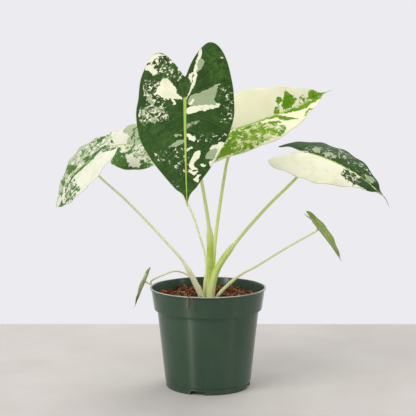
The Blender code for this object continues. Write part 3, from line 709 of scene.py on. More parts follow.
bladeBuild = dict(
    thickMiddle=0.00060, thickEdge=0.00032, thickReach=0.006, thinnestTip=0.00028, fullSize=0.09,
    tipCrowding=0.36 * math.pi, quilt=0.00034, quiltWidth=0.0019, quiltFade=0.004,
    waveReach=0.012, wavePitch=0.0042, veinRidge=0.00022, ridgeWidth=0.00055, ridgeReach=0.05,
    midribHeight=0.0011, midribWidth=0.0013, fanStep=math.radians(22), lean=0.21, leanGain=0.98, bow=0.25,
    dripStart=0.84, dripEnd=0.925, dripShare=0.42, threadRadius=0.00034,
    markDepth=1.25, markSoftness=1.35, bends=((5.0, 1.5), (2.0, 0.7)),
)


def leafAxes(leaf):
    yaw, dip, roll = (math.radians(leaf[k]) for k in ("yaw", "dip", "roll"))
    ahead = np.array((math.cos(dip) * math.cos(yaw), math.cos(dip) * math.sin(yaw), -math.sin(dip)))
    right = unit(np.cross(ahead, (0, 0, 1)))
    up = np.cross(right, ahead)
    return (ahead, math.cos(roll) * right - math.sin(roll) * up, math.cos(roll) * up + math.sin(roll) * right)


def outerReach(leaf, half, t):
    # half-width of the margin, narrowed to a drip tip
    width, lobe, end, widest = leaf["width"][half], leaf["lobe"][half], leaf["lobeEnd"][half], leaf["widest"]
    ahead = np.clip((t - widest) / (1 - widest), 0, 1)
    back = np.clip((widest - t) / (widest + lobe), 0, 1)
    reach = np.where(t > widest, width * (1 - ahead ** 1.75) ** 1.25,
                     width * (end + (1 - end) * (1 - back ** 2.2) ** (1 / 2.2)))
    b = bladeBuild
    reach = reach * (1 - b["dripShare"] * smoothStep(t, b["dripStart"], b["dripEnd"]))
    return np.maximum(reach, b["thinnestTip"])


def innerReach(leaf, half, t):
    # half-width of the notch between the rear lobes
    lobe, join = leaf["lobe"][half], leaf["join"]
    share = np.clip((-t - join) / (lobe - join), 0, 1)
    shape = 0.12 * np.sqrt(share) + 0.4 * share + 0.48 * (1 - np.sqrt(1 - share ** 2))
    return leaf["width"][half] * leaf["lobeEnd"][half] * shape


def bladePoints(leaf, half, t, reach):
    # t in blade lengths ahead of the stalk, reach in metres out from the midrib
    ahead, right, up = leafAxes(leaf)
    length, width, sign = leaf["length"], leaf["width"][half], 1 - 2 * half
    forward = np.where(t >= 0, 1.0, -1.0)
    bend = np.where(t >= 0, math.radians(leaf["droop"]) / length,
                    math.radians(leaf["lobeDroop"]) / (0.5 * length))
    bend = np.where(np.abs(bend) < 1e-4, 1e-4, bend)
    turn = bend * np.abs(t) * length
    spine = (np.array(leaf["at"]) + (forward * np.sin(turn) / bend)[:, None] * ahead
             - ((1 - np.cos(turn)) / bend)[:, None] * up
             + (0.5 * leaf["sweep"] * length * np.maximum(t, 0) ** 2)[:, None] * right)
    top = np.cos(turn)[:, None] * up + (forward * np.sin(turn))[:, None] * ahead
    fold = math.radians(leaf["fold"][half]) + np.where(t >= 0, math.radians(leaf["tipFold"][half]) * t,
                                                       math.radians(leaf["lobeFold"][half]) * -t / 0.5)
    curl = math.radians(leaf["curl"][half])
    end = fold + curl * reach / width
    across = width / curl * (np.sin(end) - np.sin(fold))
    rise = width / curl * (np.cos(fold) - np.cos(end))
    return spine + (sign * across)[:, None] * right + rise[:, None] * top


def veinField(leaf, u, v):
    # whole phases lie on a side vein; gap is the distance between neighbours
    b, length, spacing = bladeBuild, leaf["length"], leaf["length"] / leaf["veins"]
    out = np.maximum(np.abs(v), 1e-6)
    lean, leanGain, bow, step = b["lean"], b["leanGain"] / length, b["bow"] / max(leaf["width"]), b["fanStep"]
    start = (u - out * lean - bow * out ** 2) / (1 + out * leanGain)
    slope = lean + leanGain * start + 2 * bow * out
    turn, firstTurn = np.arctan2(out, u), np.arctan2(out, out * lean + bow * out ** 2)
    phase = np.where(start >= 0, start / spacing, (firstTurn - turn) / step)
    ahead = spacing * (1 + out * leanGain) / np.sqrt(1 + slope ** 2)
    return phase, np.where(start >= 0, ahead, np.hypot(u, v) * step)


def edgeDistance(points, outline):
    # distance from each point to a closed outline, and which points it holds
    near = np.full(len(points), 1e9)
    inside = np.zeros(len(points), bool)
    x, y = points[:, 0], points[:, 1]
    for (x0, y0), (x1, y1) in zip(outline, np.roll(outline, -1, 0)):
        dx, dy = x1 - x0, y1 - y0
        share = np.clip(((x - x0) * dx + (y - y0) * dy) / max(dx * dx + dy * dy, 1e-12), 0, 1)
        near = np.minimum(near, (x - x0 - share * dx) ** 2 + (y - y0 - share * dy) ** 2)
        if dy != 0:
            inside ^= ((y0 > y) != (y1 > y)) & (x < x0 + (y - y0) * dx / dy)
    return np.sqrt(near), inside


def markFields(leaf, u, v):
    # how deep each point lies in the marks of a kind, below 0 outside them
    deepest = bladeBuild["markDepth"]
    flat = np.stack([u, v, np.full(len(u), 0.3)], 1) / mm
    (broad, far), (fine, near) = bladeBuild["bends"]
    bends = [lumps(flat, broad, seed) * far + lumps(flat, fine, seed + 9) * near for seed in (3.0, 21.0)]
    points = flat[:, :2] + np.stack(bends, 1) * leaf["bending"]
    right, left = leaf["creamBase"]
    # a blade with one pale half changes over along its midrib
    half = np.full(len(u), right) if right == left else np.clip(v / mm / 0.5 * (right - left) / 2, -1, 1)
    fields = {"cream": half * deepest, "grey": np.full(len(u), -deepest), "light": np.full(len(u), -deepest)}
    for kind, level, soft, numbers in leaf["marks"]:
        outline = np.reshape(np.array(numbers, float), (-1, 2))
        soft = soft * bladeBuild["markSoftness"]
        box = ((points > outline.min(0) - 2 * soft) & (points < outline.max(0) + 2 * soft)).all(1)
        depth, inside = edgeDistance(points[box], outline)
        depth = np.clip(np.where(inside, depth, -depth) / soft, -deepest, level * deepest)
        if kind in ("green", "wash"):
            fields["cream"][box] = np.minimum(fields["cream"][box], -depth)
        if kind == "green":
            fields["grey"][box] = np.minimum(fields["grey"][box], -depth)
        else:
            target = fields["grey" if kind == "wash" else kind]
            target[box] = np.maximum(target[box], depth)
    return {kind + "Field": field for kind, field in fields.items()}


def bladeMaterial(name, leaf, seed):
    tones = dict(zip(toneNames, palettes[leaf["palette"]]))
    vein, midrib = tones.pop("Vein"), tones.pop("Midrib")
    material, tree, skin = newMaterial(name, Specular_IOR_Level=0.08)
    place = stored(tree, "bladePlace", "Vector")
    moved = shifted(place, (0, 0, seed))
    marks = placeGroup(variegation, {
        "Place": moved, "Cream Field": stored(tree, "creamField"), "Grey Field": stored(tree, "greyField"),
        "Light Field": stored(tree, "lightField"), "Grain": leaf["grain"], **tones})
    length = leaf["length"] / mm
    veins = placeGroup(leafVeins, {
        "Place": place, "Phase": stored(tree, "veinPhase"), "Gap": stored(tree, "veinGap"), "Length": length,
        "Midrib Width": 0.024 * length + 0.2, "Vein Width": 0.0055 * length + 0.12})
    pale, under = marks["Pale"], stored(tree, "underside")
    body = mixed(veins["Netting"] * (0.06 - pale * 0.05), marks["Color"], tones["Light"])
    body = mixed(veins["Veins"] * (under * 0.35 + 0.09), body, vein)
    body = mixed(veins["Midrib"] * 0.92, body, midrib)
    body = mixed(ramp(stored(tree, "marginDistance"), 0.12, 0.55, 0.4, 0.0), body, vein)
    body = mixed(under * 0.34, body, "#b4c49a")
    grain = mottle(moved, 0.9, 1.5)
    rough = grain["Value"] * 0.12 + 0.46 + under * 0.12 - pale * 0.03
    setSkin(skin, body, rough, grain["Height"] * 0.5 - veins["Netting"] * 0.08, 0.4, 0.00025)
    return material


def marginOutline(leaf, half):
    # the blade's margin on one side, tip to notch and in to the midrib, in blade metres
    lobe, join, length, count = leaf["lobe"][half], leaf["join"], leaf["length"], 110
    t = 1 - (1 + lobe) * np.sin(np.linspace(0, 1, count) * np.pi / 2) ** 1.2
    back = -lobe + (lobe - join) * np.linspace(0, 1, count // 2) ** 2
    u = np.concatenate([t, back]) * length
    v = np.concatenate([outerReach(leaf, half, t), innerReach(leaf, half, back)])
    return np.vstack([np.stack([u, v * (1 - 2 * half)], 1), [(-join * length, 0)]])


def threadTip(leaf):
    # a fine drip thread that runs on from the blade's tip and bends down
    length, bend = leaf["thread"]
    steps, sides = 14, 8
    # it starts a little inside the tip
    start, tip = bladePoints(leaf, 0, np.array([0.985, 1.0]), np.zeros(2))
    path, heading = [start], unit(tip - start)
    for _ in range(steps):
        heading = unit(heading + np.array((0, 0, -1.0)) * bend / steps)
        path.append(path[-1] + heading * length / steps)
    path = np.array(path)
    size = bladeBuild["threadRadius"] * (1 - 0.62 * np.linspace(0, 1, len(path)))
    ring = spokes(*pathFrames(path, leafAxes(leaf)[1]), roundAngles(sides))
    return (path[:, None] + size[:, None, None] * ring).reshape(-1, 3), tubeFaces(len(path), sides)


def bladeGrid(leaf):
    # each point's place along the blade, reach and half, closer together at the tip, and the quads
    rows, lobeRows, columns = leaf["grid"]
    join, crowd = leaf["join"], bladeBuild["tipCrowding"]
    front = -join + (1 + join) * np.sin(crowd * (rows - np.arange(rows + 1)) / rows) / math.sin(crowd)
    share = (np.arange(columns + 1) / columns) ** 1.15
    grid, t, reach, halves, faces = {}, [], [], [], []
    for half in (0, 1):
        lobe = leaf["lobe"][half]
        back = -join - (lobe * 0.9995 - join) * np.sin(np.pi / 2 * (np.arange(lobeRows) + 1) / lobeRows)
        lines = []
        for r, here in enumerate(np.concatenate([front, back])):
            low = float(innerReach(leaf, half, np.array([here]))[0]) if r > rows else 0.0
            high = float(outerReach(leaf, half, np.array([here]))[0])
            line = []
            for c in range(columns + 1):
                key = ("mid", r) if c == 0 and r <= rows else (half, r, c)
                if key not in grid:
                    grid[key] = len(t)
                    t.append(here)
                    reach.append(low + (high - low) * share[c])
                    halves.append(half)
                line.append(grid[key])
            lines.append(line)
        for first, second in zip(lines, lines[1:]):
            for c in range(columns):
                quad = (first[c], first[c + 1], second[c + 1], second[c])
                faces.append(quad if half == 1 else quad[::-1])
    return np.array(t), np.array(reach), np.array(halves), np.array(faces)


def pointNormals(points, faces):
    corner = points[faces]
    facing = np.cross(corner[:, 2] - corner[:, 0], corner[:, 3] - corner[:, 1])
    normal = np.zeros_like(points)
    for k in range(4):
        np.add.at(normal, faces[:, k], facing)
    return unit(normal)


def makeBlade(name, leaf, seed):
    b, length = bladeBuild, leaf["length"]
    t, reach, halves, faces = bladeGrid(leaf)
    u, v = t * length, reach * (1 - 2 * halves)
    count = len(t)
    middle, margin = np.zeros((count, 3)), np.zeros(count)
    for half in (0, 1):
        pick = halves == half
        middle[pick] = bladePoints(leaf, half, t[pick], reach[pick])
        margin[pick] = edgeDistance(np.stack([u, v], 1)[pick], marginOutline(leaf, half))[0]
    # ahead of the notch the nearest edge is the outer one
    outer = np.where(halves == 0, outerReach(leaf, 0, t), outerReach(leaf, 1, t))
    margin = np.where(t > -leaf["join"], np.maximum(outer - reach, 0), margin)

    phase, gap = veinField(leaf, u, v)
    fromVein = np.abs(phase - np.round(phase)) * gap
    out = np.abs(v)
    edgeFade = np.clip(margin / b["quiltFade"], 0, 1)
    flat, fade = (0.0008, 0.003) if length > 0.05 else (0.0, 0.002)
    size = min(1.0, length / b["fullSize"])
    quilt = b["quilt"] * leaf["quilting"] * size * edgeFade * np.clip((out - flat) / fade, 0, 1)
    quilt *= 1 - np.exp(-(fromVein / b["quiltWidth"]) ** 2)
    wavelets = np.sin(u / b["wavePitch"] * (b["fullSize"] / max(length, 0.05)) + 2.1 * halves + seed)
    wave = leaf["wave"] * np.clip(1 - margin / b["waveReach"], 0, 1) ** 2 * wavelets
    wave *= smoothStep(1 - t, 0.02, 0.2)
    thick = b["thickEdge"] + (b["thickMiddle"] - b["thickEdge"]) * np.clip(margin / b["thickReach"], 0, 1)
    thick *= 0.55 + 0.45 * size
    ridge = b["veinRidge"] * size * np.exp(-(fromVein / b["ridgeWidth"]) ** 2) * edgeFade
    ridge *= np.clip(1 - out / b["ridgeReach"], 0.2, 1)
    taper = np.where(u >= 0, 1 - 0.85 * np.clip(t, 0, 1), np.exp(-(u / 0.0035) ** 2))
    ribWidth = b["midribWidth"] * (0.35 + 0.65 * size) * np.maximum(taper, 0.15)
    rib = b["midribHeight"] * size * taper * np.exp(-(out / ribWidth) ** 2)
    normal = pointNormals(middle, faces)
    verts = np.vstack([middle + normal * (thick / 2 + quilt + wave + 0.12 * rib)[:, None],
                       middle + normal * (-thick / 2 + quilt * 0.8 + wave - ridge - rib)[:, None]])

    # upper face, underside and the rim that joins them
    edges = np.concatenate([faces[:, [k, (k + 1) % 4]] for k in range(4)])
    code = np.sort(edges, 1) @ np.array([count, 1])
    _, first, times = np.unique(code, return_index=True, return_counts=True)
    rim = edges[first[times == 1]]
    allFaces = faces.tolist() + (faces[:, ::-1] + count).tolist()
    allFaces += np.stack([rim[:, 1], rim[:, 0], rim[:, 0] + count, rim[:, 1] + count], 1).tolist()
    values = {**markFields(leaf, u, v), "veinPhase": phase, "veinGap": gap / mm,
              "marginDistance": margin / mm}
    values = {label: np.tile(numbers, 2) for label, numbers in values.items()}
    values["bladePlace"] = np.tile(np.stack([u / mm, v / mm, np.zeros(count)], 1), (2, 1))
    values["underside"] = np.repeat([0.0, 1.0], count)

    if leaf["thread"][0] > 0:
        extra, extraFaces = threadTip(leaf)
        allFaces += [tuple(i + len(verts) for i in face) for face in extraFaces]
        verts = np.vstack([verts, extra])
        fill = {"creamField": -1, "greyField": -1, "lightField": 0.5, "veinPhase": 0.5, "veinGap": 9,
                "marginDistance": 9, "underside": 0, "bladePlace": (length / mm, 3.0, 0.0)}
        for label, number in fill.items():
            more = np.full((len(extra), *np.shape(number)), number, float)
            values[label] = np.concatenate([values[label], more])
    material = bladeMaterial(name + "Skin", leaf, seed)
    newPiece(name, verts, allFaces, material, [name.replace("Blade", "_blade")], values)


for index, (leafName, leaf) in enumerate(leaves.items()):
    makeBlade(leafName + "Blade", leaf, 7.0 + 31 * index)
print("blades made")


# Stalks

stalkBuild = dict(
    crownTop=0.0795, gap=0.0003, bladeThick=0.0008, clearance=0.0001, sides=32, perSpan=16, sheathTaper=0.06,
    leadIn=0.0050, flareStart=0.975, flare=0.30, bite=0.0003, flushRise=(0.04, 0.12), flushFade=(0.24, 0.36),
    foot="#e6eab4", green="#dce98a", paler="#fefee6", streak="#eff4bc", flush="#b9d640",
)


def stalkMaterial():
    s = stalkBuild
    material, tree, skin = newMaterial("stalkSkin", Subsurface_Weight=0.10, Subsurface_Scale=0.002,
                                       Subsurface_Radius=(1.0, 1.0, 0.4), Specular_IOR_Level=0.22)
    # along the stalk and across it, in millimetres
    run, x, y = split(stored(tree, "stalkPlace", "Vector"))
    place = joined(run, x, y + stored(tree, "stalkNumber"))
    grain = fibres(place, 26.0, 0.8)
    cloud = mottle(place, 9.0, 2.4)["Value"]
    body = mixed(stored(tree, "paleShare"), s["green"], s["paler"])
    body = mixed(stored(tree, "flushShare") * ramp(cloud, 0.1, 0.8, 0.35, 1.0), body, s["flush"])
    body = mixed(grain["Value"] * 0.14, body, s["streak"])
    body = mixed(ramp(stored(tree, "stalkShare"), 0.01, 0.12, 0.45, 0.0), body, s["foot"])
    setSkin(skin, body, grain["Value"] * 0.12 + 0.46, grain["Height"], 0.05, 0.0003)
    return material


def makeStalk(leafName, leaf, number, material):
    s = stalkBuild
    up = leafAxes(leaf)[2]
    foot, wrapped, bare, top = leaf["radii"]
    steepest = max(0.0, -min(leaf["fold"]))
    seat = s["bladeThick"] / 2 + s["gap"] + s["clearance"] + top * math.tan(math.radians(steepest))
    end = np.array(leaf["at"]) - up * seat
    route = [(*leaf["stalk"][0], s["crownTop"] + s["gap"]), *leaf["stalk"][1:], end - up * s["leadIn"], end]
    path = smoothPath(route, s["perSpan"])
    run = np.concatenate([[0], np.cumsum(np.linalg.norm(np.diff(path, axis=0), axis=1))])
    share = run / run[-1]
    free = leaf["sheath"]
    slim = bare + (top - bare) * share
    cover = smoothStep(np.clip((free - share) / s["sheathTaper"], 0, 1), 0, 1)
    radius = slim + (foot + (wrapped - foot) * share / free - slim) * cover
    radius *= 1 + s["flare"] * smoothStep(share, s["flareStart"], 1.0)
    # a little more path, so that the stalk runs into the midrib's ridge
    path[-1] = end + up * s["bite"]
    angle = roundAngles(s["sides"])
    signed = (angle + np.pi) % (2 * np.pi) - np.pi
    # the sheath is broader than deep, with a groove beside its lip, and fades where it ends
    size = leaf["wing"] * (0.5 + 0.5 * share / free) * (1 - smoothStep(share, free - 0.025, free + 0.008))
    lips = np.exp(-(signed / 0.55) ** 2) + 0.45 * np.exp(-((np.abs(signed) - np.pi) / 0.6) ** 2)
    groove = np.exp(-((signed - 0.55) / 0.22) ** 2)
    depth = radius * 0.16 * (1 - smoothStep(share, free, free + 0.2)) + radius * 0.05
    ribs = 1 + 0.012 * np.cos(9 * angle + number)
    reach = radius[:, None] * ribs + size[:, None] * lips - depth[:, None] * groove
    ring = spokes(*pathFrames(path, leaf["wingSide"], ((0, 0, 1), up)), angle)
    verts = (path[:, None] + reach[..., None] * ring).reshape(-1, 3)
    place = np.stack([np.repeat(run / mm, s["sides"]), (reach * np.cos(angle)).ravel() / mm,
                      (reach * np.sin(angle)).ravel() / mm], 1)
    flush = leaf["flush"] * smoothStep(share, *s["flushRise"]) * (1 - smoothStep(share, *s["flushFade"]))
    newPiece(leafName + "Stalk", verts, tubeFaces(len(path), s["sides"]), material,
             [leafName + "_stalk"], {"stalkPlace": place, "stalkNumber": np.full(len(verts), number * 7.0),
                                     "paleShare": np.full(len(verts), leaf["pale"]),
                                     "stalkShare": np.repeat(share, s["sides"]),
                                     "flushShare": np.repeat(flush, s["sides"])})
    return path


stalkSkin = stalkMaterial()
stalkPaths = [makeStalk(leafName, leaf, number, stalkSkin)
              for number, (leafName, leaf) in enumerate(leaves.items())]
print("stalks made")


# Potting mix, husk shreds, flakes, crown and strand

mix = dict(
    height=0.0840, bump=0.0013, edge=0.0502, foot=0.0388, floor=0.0036,
    shoulder=0.0458, shoulderHeight=0.0710, rings=70, segments=200,
    hollow=0.0030, hollowRadius=0.0125, sink=0.0010, sag=0.0012, lump=0.0016,
    shreds=1500, shredSeed=17, shredReach=0.0494, stalkRoom=0.0040, tilt=0.40, lift=0.0013,
    kindShares=(0.58, 0.84),
    # smallest and largest (length, width, thickness) of chunks, crumbs and fibres
    kinds=[((0.0035, 0.0014, 0.0008), (0.0085, 0.0030, 0.0018)),
           ((0.0018, 0.0012, 0.0009), (0.0036, 0.0026, 0.0019)),
           ((0.0060, 0.0005, 0.0004), (0.0115, 0.0011, 0.0008))],
    dark="#20120b", brown="#5f321c", rust="#9a552d", pale="#c2824f",
)


def mixHeight(x, y):
    bump = noise.noise(Vector((x * 190, y * 190, 3.7))) + 0.5 * noise.noise(Vector((x * 420, y * 420, 9.1)))
    return mix["height"] + mix["bump"] * bump - mix["sag"] * (math.hypot(x, y) / pot["rimRadius"]) ** 2


def hollowDepth(radius):
    # the shallow dip round the crown
    return mix["hollow"] * math.exp(-(radius / mix["hollowRadius"]) ** 4)


def huskMaterial(name, dark, brown, rust, pale, grainSize=1.0):
    # tone is each piece's own colour, from dark and damp to dry and pale, and on the loose shreds it also
    # holds painted shade: the lower a shred lies, the darker it is
    material, tree, skin = newMaterial(name, Specular_IOR_Level=0.3)
    toneAndShade = stored(tree, "toneAndShade")
    grain = fibres(stored(tree, "grainPlace", "Vector"), 5.0 * grainSize, 0.35 * grainSize)
    cloud = mottle(millimetres(tree), 2.6, 2.4)["Value"]
    body = mixed(ramp(toneAndShade, 0.0, 0.45), dark, brown)
    body = mixed(ramp(toneAndShade, 0.35, 0.8), body, rust)
    body = mixed(grain["Value"] * ramp(toneAndShade, 0.4, 1.0, 0.12, 0.6), body, pale)
    setSkin(skin, mixed(cloud * 0.35, body, dark), cloud * 0.25 + 0.62, grain["Height"], 0.7, 0.0004)
    return material


def makeMound(material):
    m = mix
    rings = [(m["foot"] - 0.0008, m["floor"]), (m["foot"], m["floor"] + 0.0010),
             (m["shoulder"], m["shoulderHeight"]), (m["edge"] - 0.0010, m["shoulderHeight"] + 0.0040)]
    angle = roundAngles(m["segments"])
    verts = [(0.0, 0.0, m["floor"])]
    for radius, z in rings:
        verts += [(radius * math.cos(a), radius * math.sin(a), z) for a in angle]
    for k in range(m["rings"]):
        radius = m["edge"] * (1 - k / m["rings"])
        for a in angle:
            x, y = radius * math.cos(a), radius * math.sin(a)
            lump = noise.turbulence(Vector((x * 260, y * 260, 1.3)), 4, False) - 0.5
            top = mixHeight(x, y) - m["sink"] + m["lump"] * lump
            verts.append((x, y, top - hollowDepth(math.hypot(x, y))))
    verts.append((0.0, 0.0, mixHeight(0, 0) - m["sink"] - m["hollow"]))
    verts = np.array(verts)
    toneAndShade = 0.16 + 0.22 * np.clip(lumps(verts, 0.0021, 5.0), -1, 1)
    newPiece("pottingMix", verts, latheFaces(len(rings) + m["rings"], m["segments"]), material,
             ["potting_mix"], {"toneAndShade": toneAndShade, "grainPlace": verts / mm})


def shredShape(rng, length, width, thick):
    # one torn husk fibre bundle along +X, curled and twisted
    sides, rings = 5, 7
    s = np.linspace(-1, 1, rings)
    bend = rng.uniform(-1.3, 1.3)
    lift = rng.uniform(-0.5, 1.0)
    centre = np.stack([s * length / 2, bend * length * 0.16 * s ** 2, lift * length * 0.14 * s ** 2], 1)
    taper = (1 - 0.75 * np.abs(s) ** 3) * (1 + 0.18 * rng.standard_normal(rings))
    twist = np.linspace(0, rng.uniform(-1.6, 1.6), rings)
    angle = roundAngles(sides) + rng.uniform(0, 1)
    rough = 1 + 0.28 * rng.uniform(-1, 1, (rings, sides))
    y = width / 2 * np.cos(angle)[None] * taper[:, None] * rough
    z = thick / 2 * np.sin(angle)[None] * taper[:, None] * rough
    yy = y * np.cos(twist)[:, None] - z * np.sin(twist)[:, None]
    zz = y * np.sin(twist)[:, None] + z * np.cos(twist)[:, None]
    local = np.stack([np.repeat(centre[:, :1], sides, 1), centre[:, 1:2] + yy, centre[:, 2:] + zz], -1)
    return local.reshape(-1, 3), rings, sides


def makeShreds(material):
    m = mix
    rng = np.random.default_rng(m["shredSeed"])
    bases = np.array([path[np.argmin(np.abs(path[:, 2] - z))] for path in stalkPaths
                      for z in (0.083, 0.086, 0.089)])
    for batch in "AB":
        verts, faces, tones, grains, start = [], [], [], [], 0
        for _ in range(m["shreds"] // 2):
            radius, angle = m["shredReach"] * math.sqrt(rng.uniform()), rng.uniform(0, 2 * math.pi)
            x, y = radius * math.cos(angle), radius * math.sin(angle)
            low, high = m["kinds"][int(np.searchsorted(m["kindShares"], rng.uniform()))]
            length, width, thick = rng.uniform(low, high)
            turn, tilt = rng.uniform(0, 2 * math.pi), rng.normal(0, m["tilt"])
            lift = abs(rng.normal(0, m["lift"])) + thick * 0.2
            # painted shade and light: a shred lying low among the others is darker, a raised one paler
            toneAndShade = np.clip(rng.beta(1.6, 2.0) + 130 * (lift - m["lift"]), 0, 1)
            local, rings, sides = shredShape(rng, length, width, thick)
            near = np.hypot(bases[:, 0] - x, bases[:, 1] - y).min()
            atWall = radius > m["shredReach"] - length * 0.4
            if near < m["stalkRoom"] + length * 0.3 or atWall and rng.uniform() < 0.7:
                continue
            rotation = np.array(Matrix.Rotation(turn, 3, "Z") @ Matrix.Rotation(tilt, 3, "Y"))
            placed = local @ rotation.T + (x, y, mixHeight(x, y) - m["sink"] + lift - hollowDepth(radius))
            far = np.hypot(placed[:, 0], placed[:, 1])
            placed[:, :2] *= np.minimum(1, (m["edge"] - 0.0001) / np.maximum(far, 1e-9))[:, None]
            verts.append(placed)
            faces += tubeFaces(rings, sides, start)
            start += len(placed)
            tones.append(np.full(len(placed), toneAndShade))
            grains.append(local / mm + rng.uniform(0, 50, 3))
        newPiece("huskShreds" + batch, np.vstack(verts), faces, material, [],
                 {"toneAndShade": np.concatenate(tones), "grainPlace": np.vstack(grains)}, sharp=60)


flake = dict(columns=26, rows=12, seed=300, lift=0.0004, upturn=0.0003, hollow=0.0002, ridge=0.00010,
             grit=0.00006, rust="#a0664a", pale="#c08a6c", grainSize=1.4)


def makeChip(node, material, number):
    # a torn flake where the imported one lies, a little thinner at its edges
    f = flake
    rng = np.random.default_rng(f["seed"] + number)
    co = np.array([v.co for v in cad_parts[node].data.vertices])
    centre = (co.min(0) + co.max(0)) / 2
    flat = co[:, :2] - co[:, :2].mean(0)
    axis = np.linalg.svd(flat, full_matrices=False)[2][0]
    across = np.array((-axis[1], axis[0]))
    length, width = np.ptp(flat @ axis), np.ptp(flat @ across)
    low, high = co[:, 2].min(), co[:, 2].max()
    cols, rows = f["columns"], f["rows"]
    u, v = np.meshgrid(np.linspace(-1, 1, cols), np.linspace(-1, 1, rows), indexing="ij")
    torn = 1 + 0.10 * np.sin(5 * u + number) + 0.07 * rng.uniform(-1, 1, u.shape) * (np.abs(v) > 0.9)
    x = u * length / 2 * (1 + 0.05 * rng.uniform(-1, 1, u.shape) * (np.abs(u) > 0.95))
    y = v * (width / 2 * (1 - 0.55 * u ** 2) * torn)
    ripple = np.sin(v * 11 + 2 * np.sin(2 * u + number))
    ridges = f["ridge"] * ripple + f["grit"] * rng.standard_normal(u.shape)
    swell = (high - low) * 0.5 * (1 - 0.5 * v ** 2) * (1 - 0.35 * u ** 2)
    plan = centre[:2] + x[..., None] * axis + y[..., None] * across
    mid = low + f["lift"] + f["upturn"] * u ** 2
    verts = np.vstack([np.concatenate([plan, z[..., None]], -1).reshape(-1, 3)
                       for z in (mid + swell + ridges, mid - f["hollow"] * (1 - v ** 2))])
    n = cols * rows
    faces = []
    for i in range(cols - 1):
        for j in range(rows - 1):
            a, b, c, d = i * rows + j, (i + 1) * rows + j, (i + 1) * rows + j + 1, i * rows + j + 1
            faces += [(a, b, c, d), (n + d, n + c, n + b, n + a)]
    ring = ([i * rows for i in range(cols)] + [(cols - 1) * rows + j for j in range(1, rows)]
            + [i * rows + rows - 1 for i in reversed(range(cols - 1))] + list(reversed(range(1, rows - 1))))
    faces += [(b, a, n + a, n + b) for a, b in zip(ring, ring[1:] + ring[:1])]
    grain = np.tile(np.stack([x.ravel(), y.ravel(), np.zeros(n)], 1), (2, 1)) / mm + number * 9
    newPiece("huskFlake%02d" % number, verts, faces, material, [node],
             {"toneAndShade": np.full(2 * n, rng.uniform(0.6, 0.95)), "grainPlace": grain})


crown = dict(centre=(0.0006, -0.0008), radius=0.0121, top=0.0795, foot=0.0560, scarPitch=0.0042,
             skin="#8f8a4e", scar="#5d4a2c", tan="#b7ae78")


def makeCrown():
    c = crown
    material, tree, skin = newMaterial("crownSkin", Specular_IOR_Level=0.4)
    where = millimetres(tree)
    cloud = mottle(where, 4.0, 2.2)
    body = mixed(cloud["Value"], c["skin"], c["tan"])
    body = mixed(scuffs(where, stored(tree, "scar"), 1.6), body, c["scar"])
    setSkin(skin, body, cloud["Value"] * 0.2 + 0.45, cloud["Height"], 0.5, 0.0006)
    r, low, high = c["radius"], c["foot"], c["top"]
    corners = [(0.0, low, 0), (r * 0.70, low, 0.002), (r * 0.94, low + 0.003, 0.002),
               (r * 0.99, low + 0.008, 0.002), (r * 0.99, high - 0.003, 0.001), (r * 0.93, high, 0.0008),
               (0.0, high, 0)]
    verts, faces = latheMesh(roundedOutline(corners, 0.0006), 96, c["centre"])
    ringMarks = np.abs(np.sin((verts[:, 2] - low) / c["scarPitch"] * np.pi)) ** 8
    offset = verts[:, :2] - c["centre"]
    lumpy = 1 + 0.035 * lumps(verts, 0.005, 2.0) - 0.03 * ringMarks - 0.01
    verts[:, :2] = np.array(c["centre"]) + offset * lumpy[:, None]
    newPiece("crownBase", verts, faces, material, ["crown"], {"scar": 0.7 * ringMarks})


strand = dict(
    route=[(-0.0160, -0.0440, 0.0856), (-0.0167, -0.0468, 0.0885), (-0.0169, -0.0476, 0.0922),
           (-0.0173, -0.0498, 0.0942), (-0.0176, -0.0517, 0.0940), (-0.0179, -0.0524, 0.0915),
           (-0.0186, -0.0516, 0.0862), (-0.0190, -0.0503, 0.0800)],
    second=[(-0.0163, -0.0492, 0.0943), (-0.0158, -0.0512, 0.0944), (-0.0152, -0.0530, 0.0934),
            (-0.0143, -0.0530, 0.0912), (-0.0134, -0.0520, 0.0882), (-0.0125, -0.0513, 0.0846),
            (-0.0123, -0.0507, 0.0805), (-0.0128, -0.0502, 0.0775)],
    # a core, three fibres that wind round it, and one on the second route
    radius=0.00046, shares=(0.75, 0.55, 0.55, 0.55, 0.42), coil=0.55, sides=8,
    colours=("#6b3f2e", "#8a563f", "#9a6650", "#bf8a70"))


def makeStrand():
    c = strand
    verts, faces, start = [], [], 0
    angle = roundAngles(c["sides"])
    for k, thickness in enumerate(c["shares"]):
        path = smoothPath(c["second" if k == 4 else "route"], 8)
        side, up = pathFrames(path, (1, 0, 0))
        phase = np.linspace(0, 9, len(path)) + k * 1.7
        offset = c["radius"] * c["coil"] * (np.cos(phase)[:, None] * side + np.sin(phase)[:, None] * up)
        line = path + (offset if 0 < k < 4 else 0)
        taper = 1 - 0.55 * np.linspace(0, 1, len(path)) ** 2
        wobble = 1 + 0.15 * np.sin(np.linspace(0, 40, len(path)) + k)
        size = c["radius"] * thickness * taper * wobble
        verts.append((line[:, None] + size[:, None, None] * spokes(side, up, angle)).reshape(-1, 3))
        faces += tubeFaces(len(path), c["sides"], start)
        start += len(verts[-1])
    verts = np.vstack(verts)
    toneAndShade = 0.75 + 0.2 * lumps(verts, 0.002, 8.0)
    newPiece("coirStrand", verts, faces, huskMaterial("coirFibre", *c["colours"]), ["coir_strand"],
             {"toneAndShade": toneAndShade, "grainPlace": verts / mm})


huskMix = huskMaterial("huskMix", mix["dark"], mix["brown"], mix["rust"], mix["pale"])
huskFlakes = huskMaterial("huskFlakes", mix["brown"], mix["rust"], flake["rust"], flake["pale"],
                          flake["grainSize"])
makeMound(huskMix)
makeShreds(huskMix)
for number in range(1, 10):
    makeChip("husk_chip_%02d" % number, huskFlakes, number)
makeCrown()
makeStrand()
print("mix, flakes, crown and strand made")


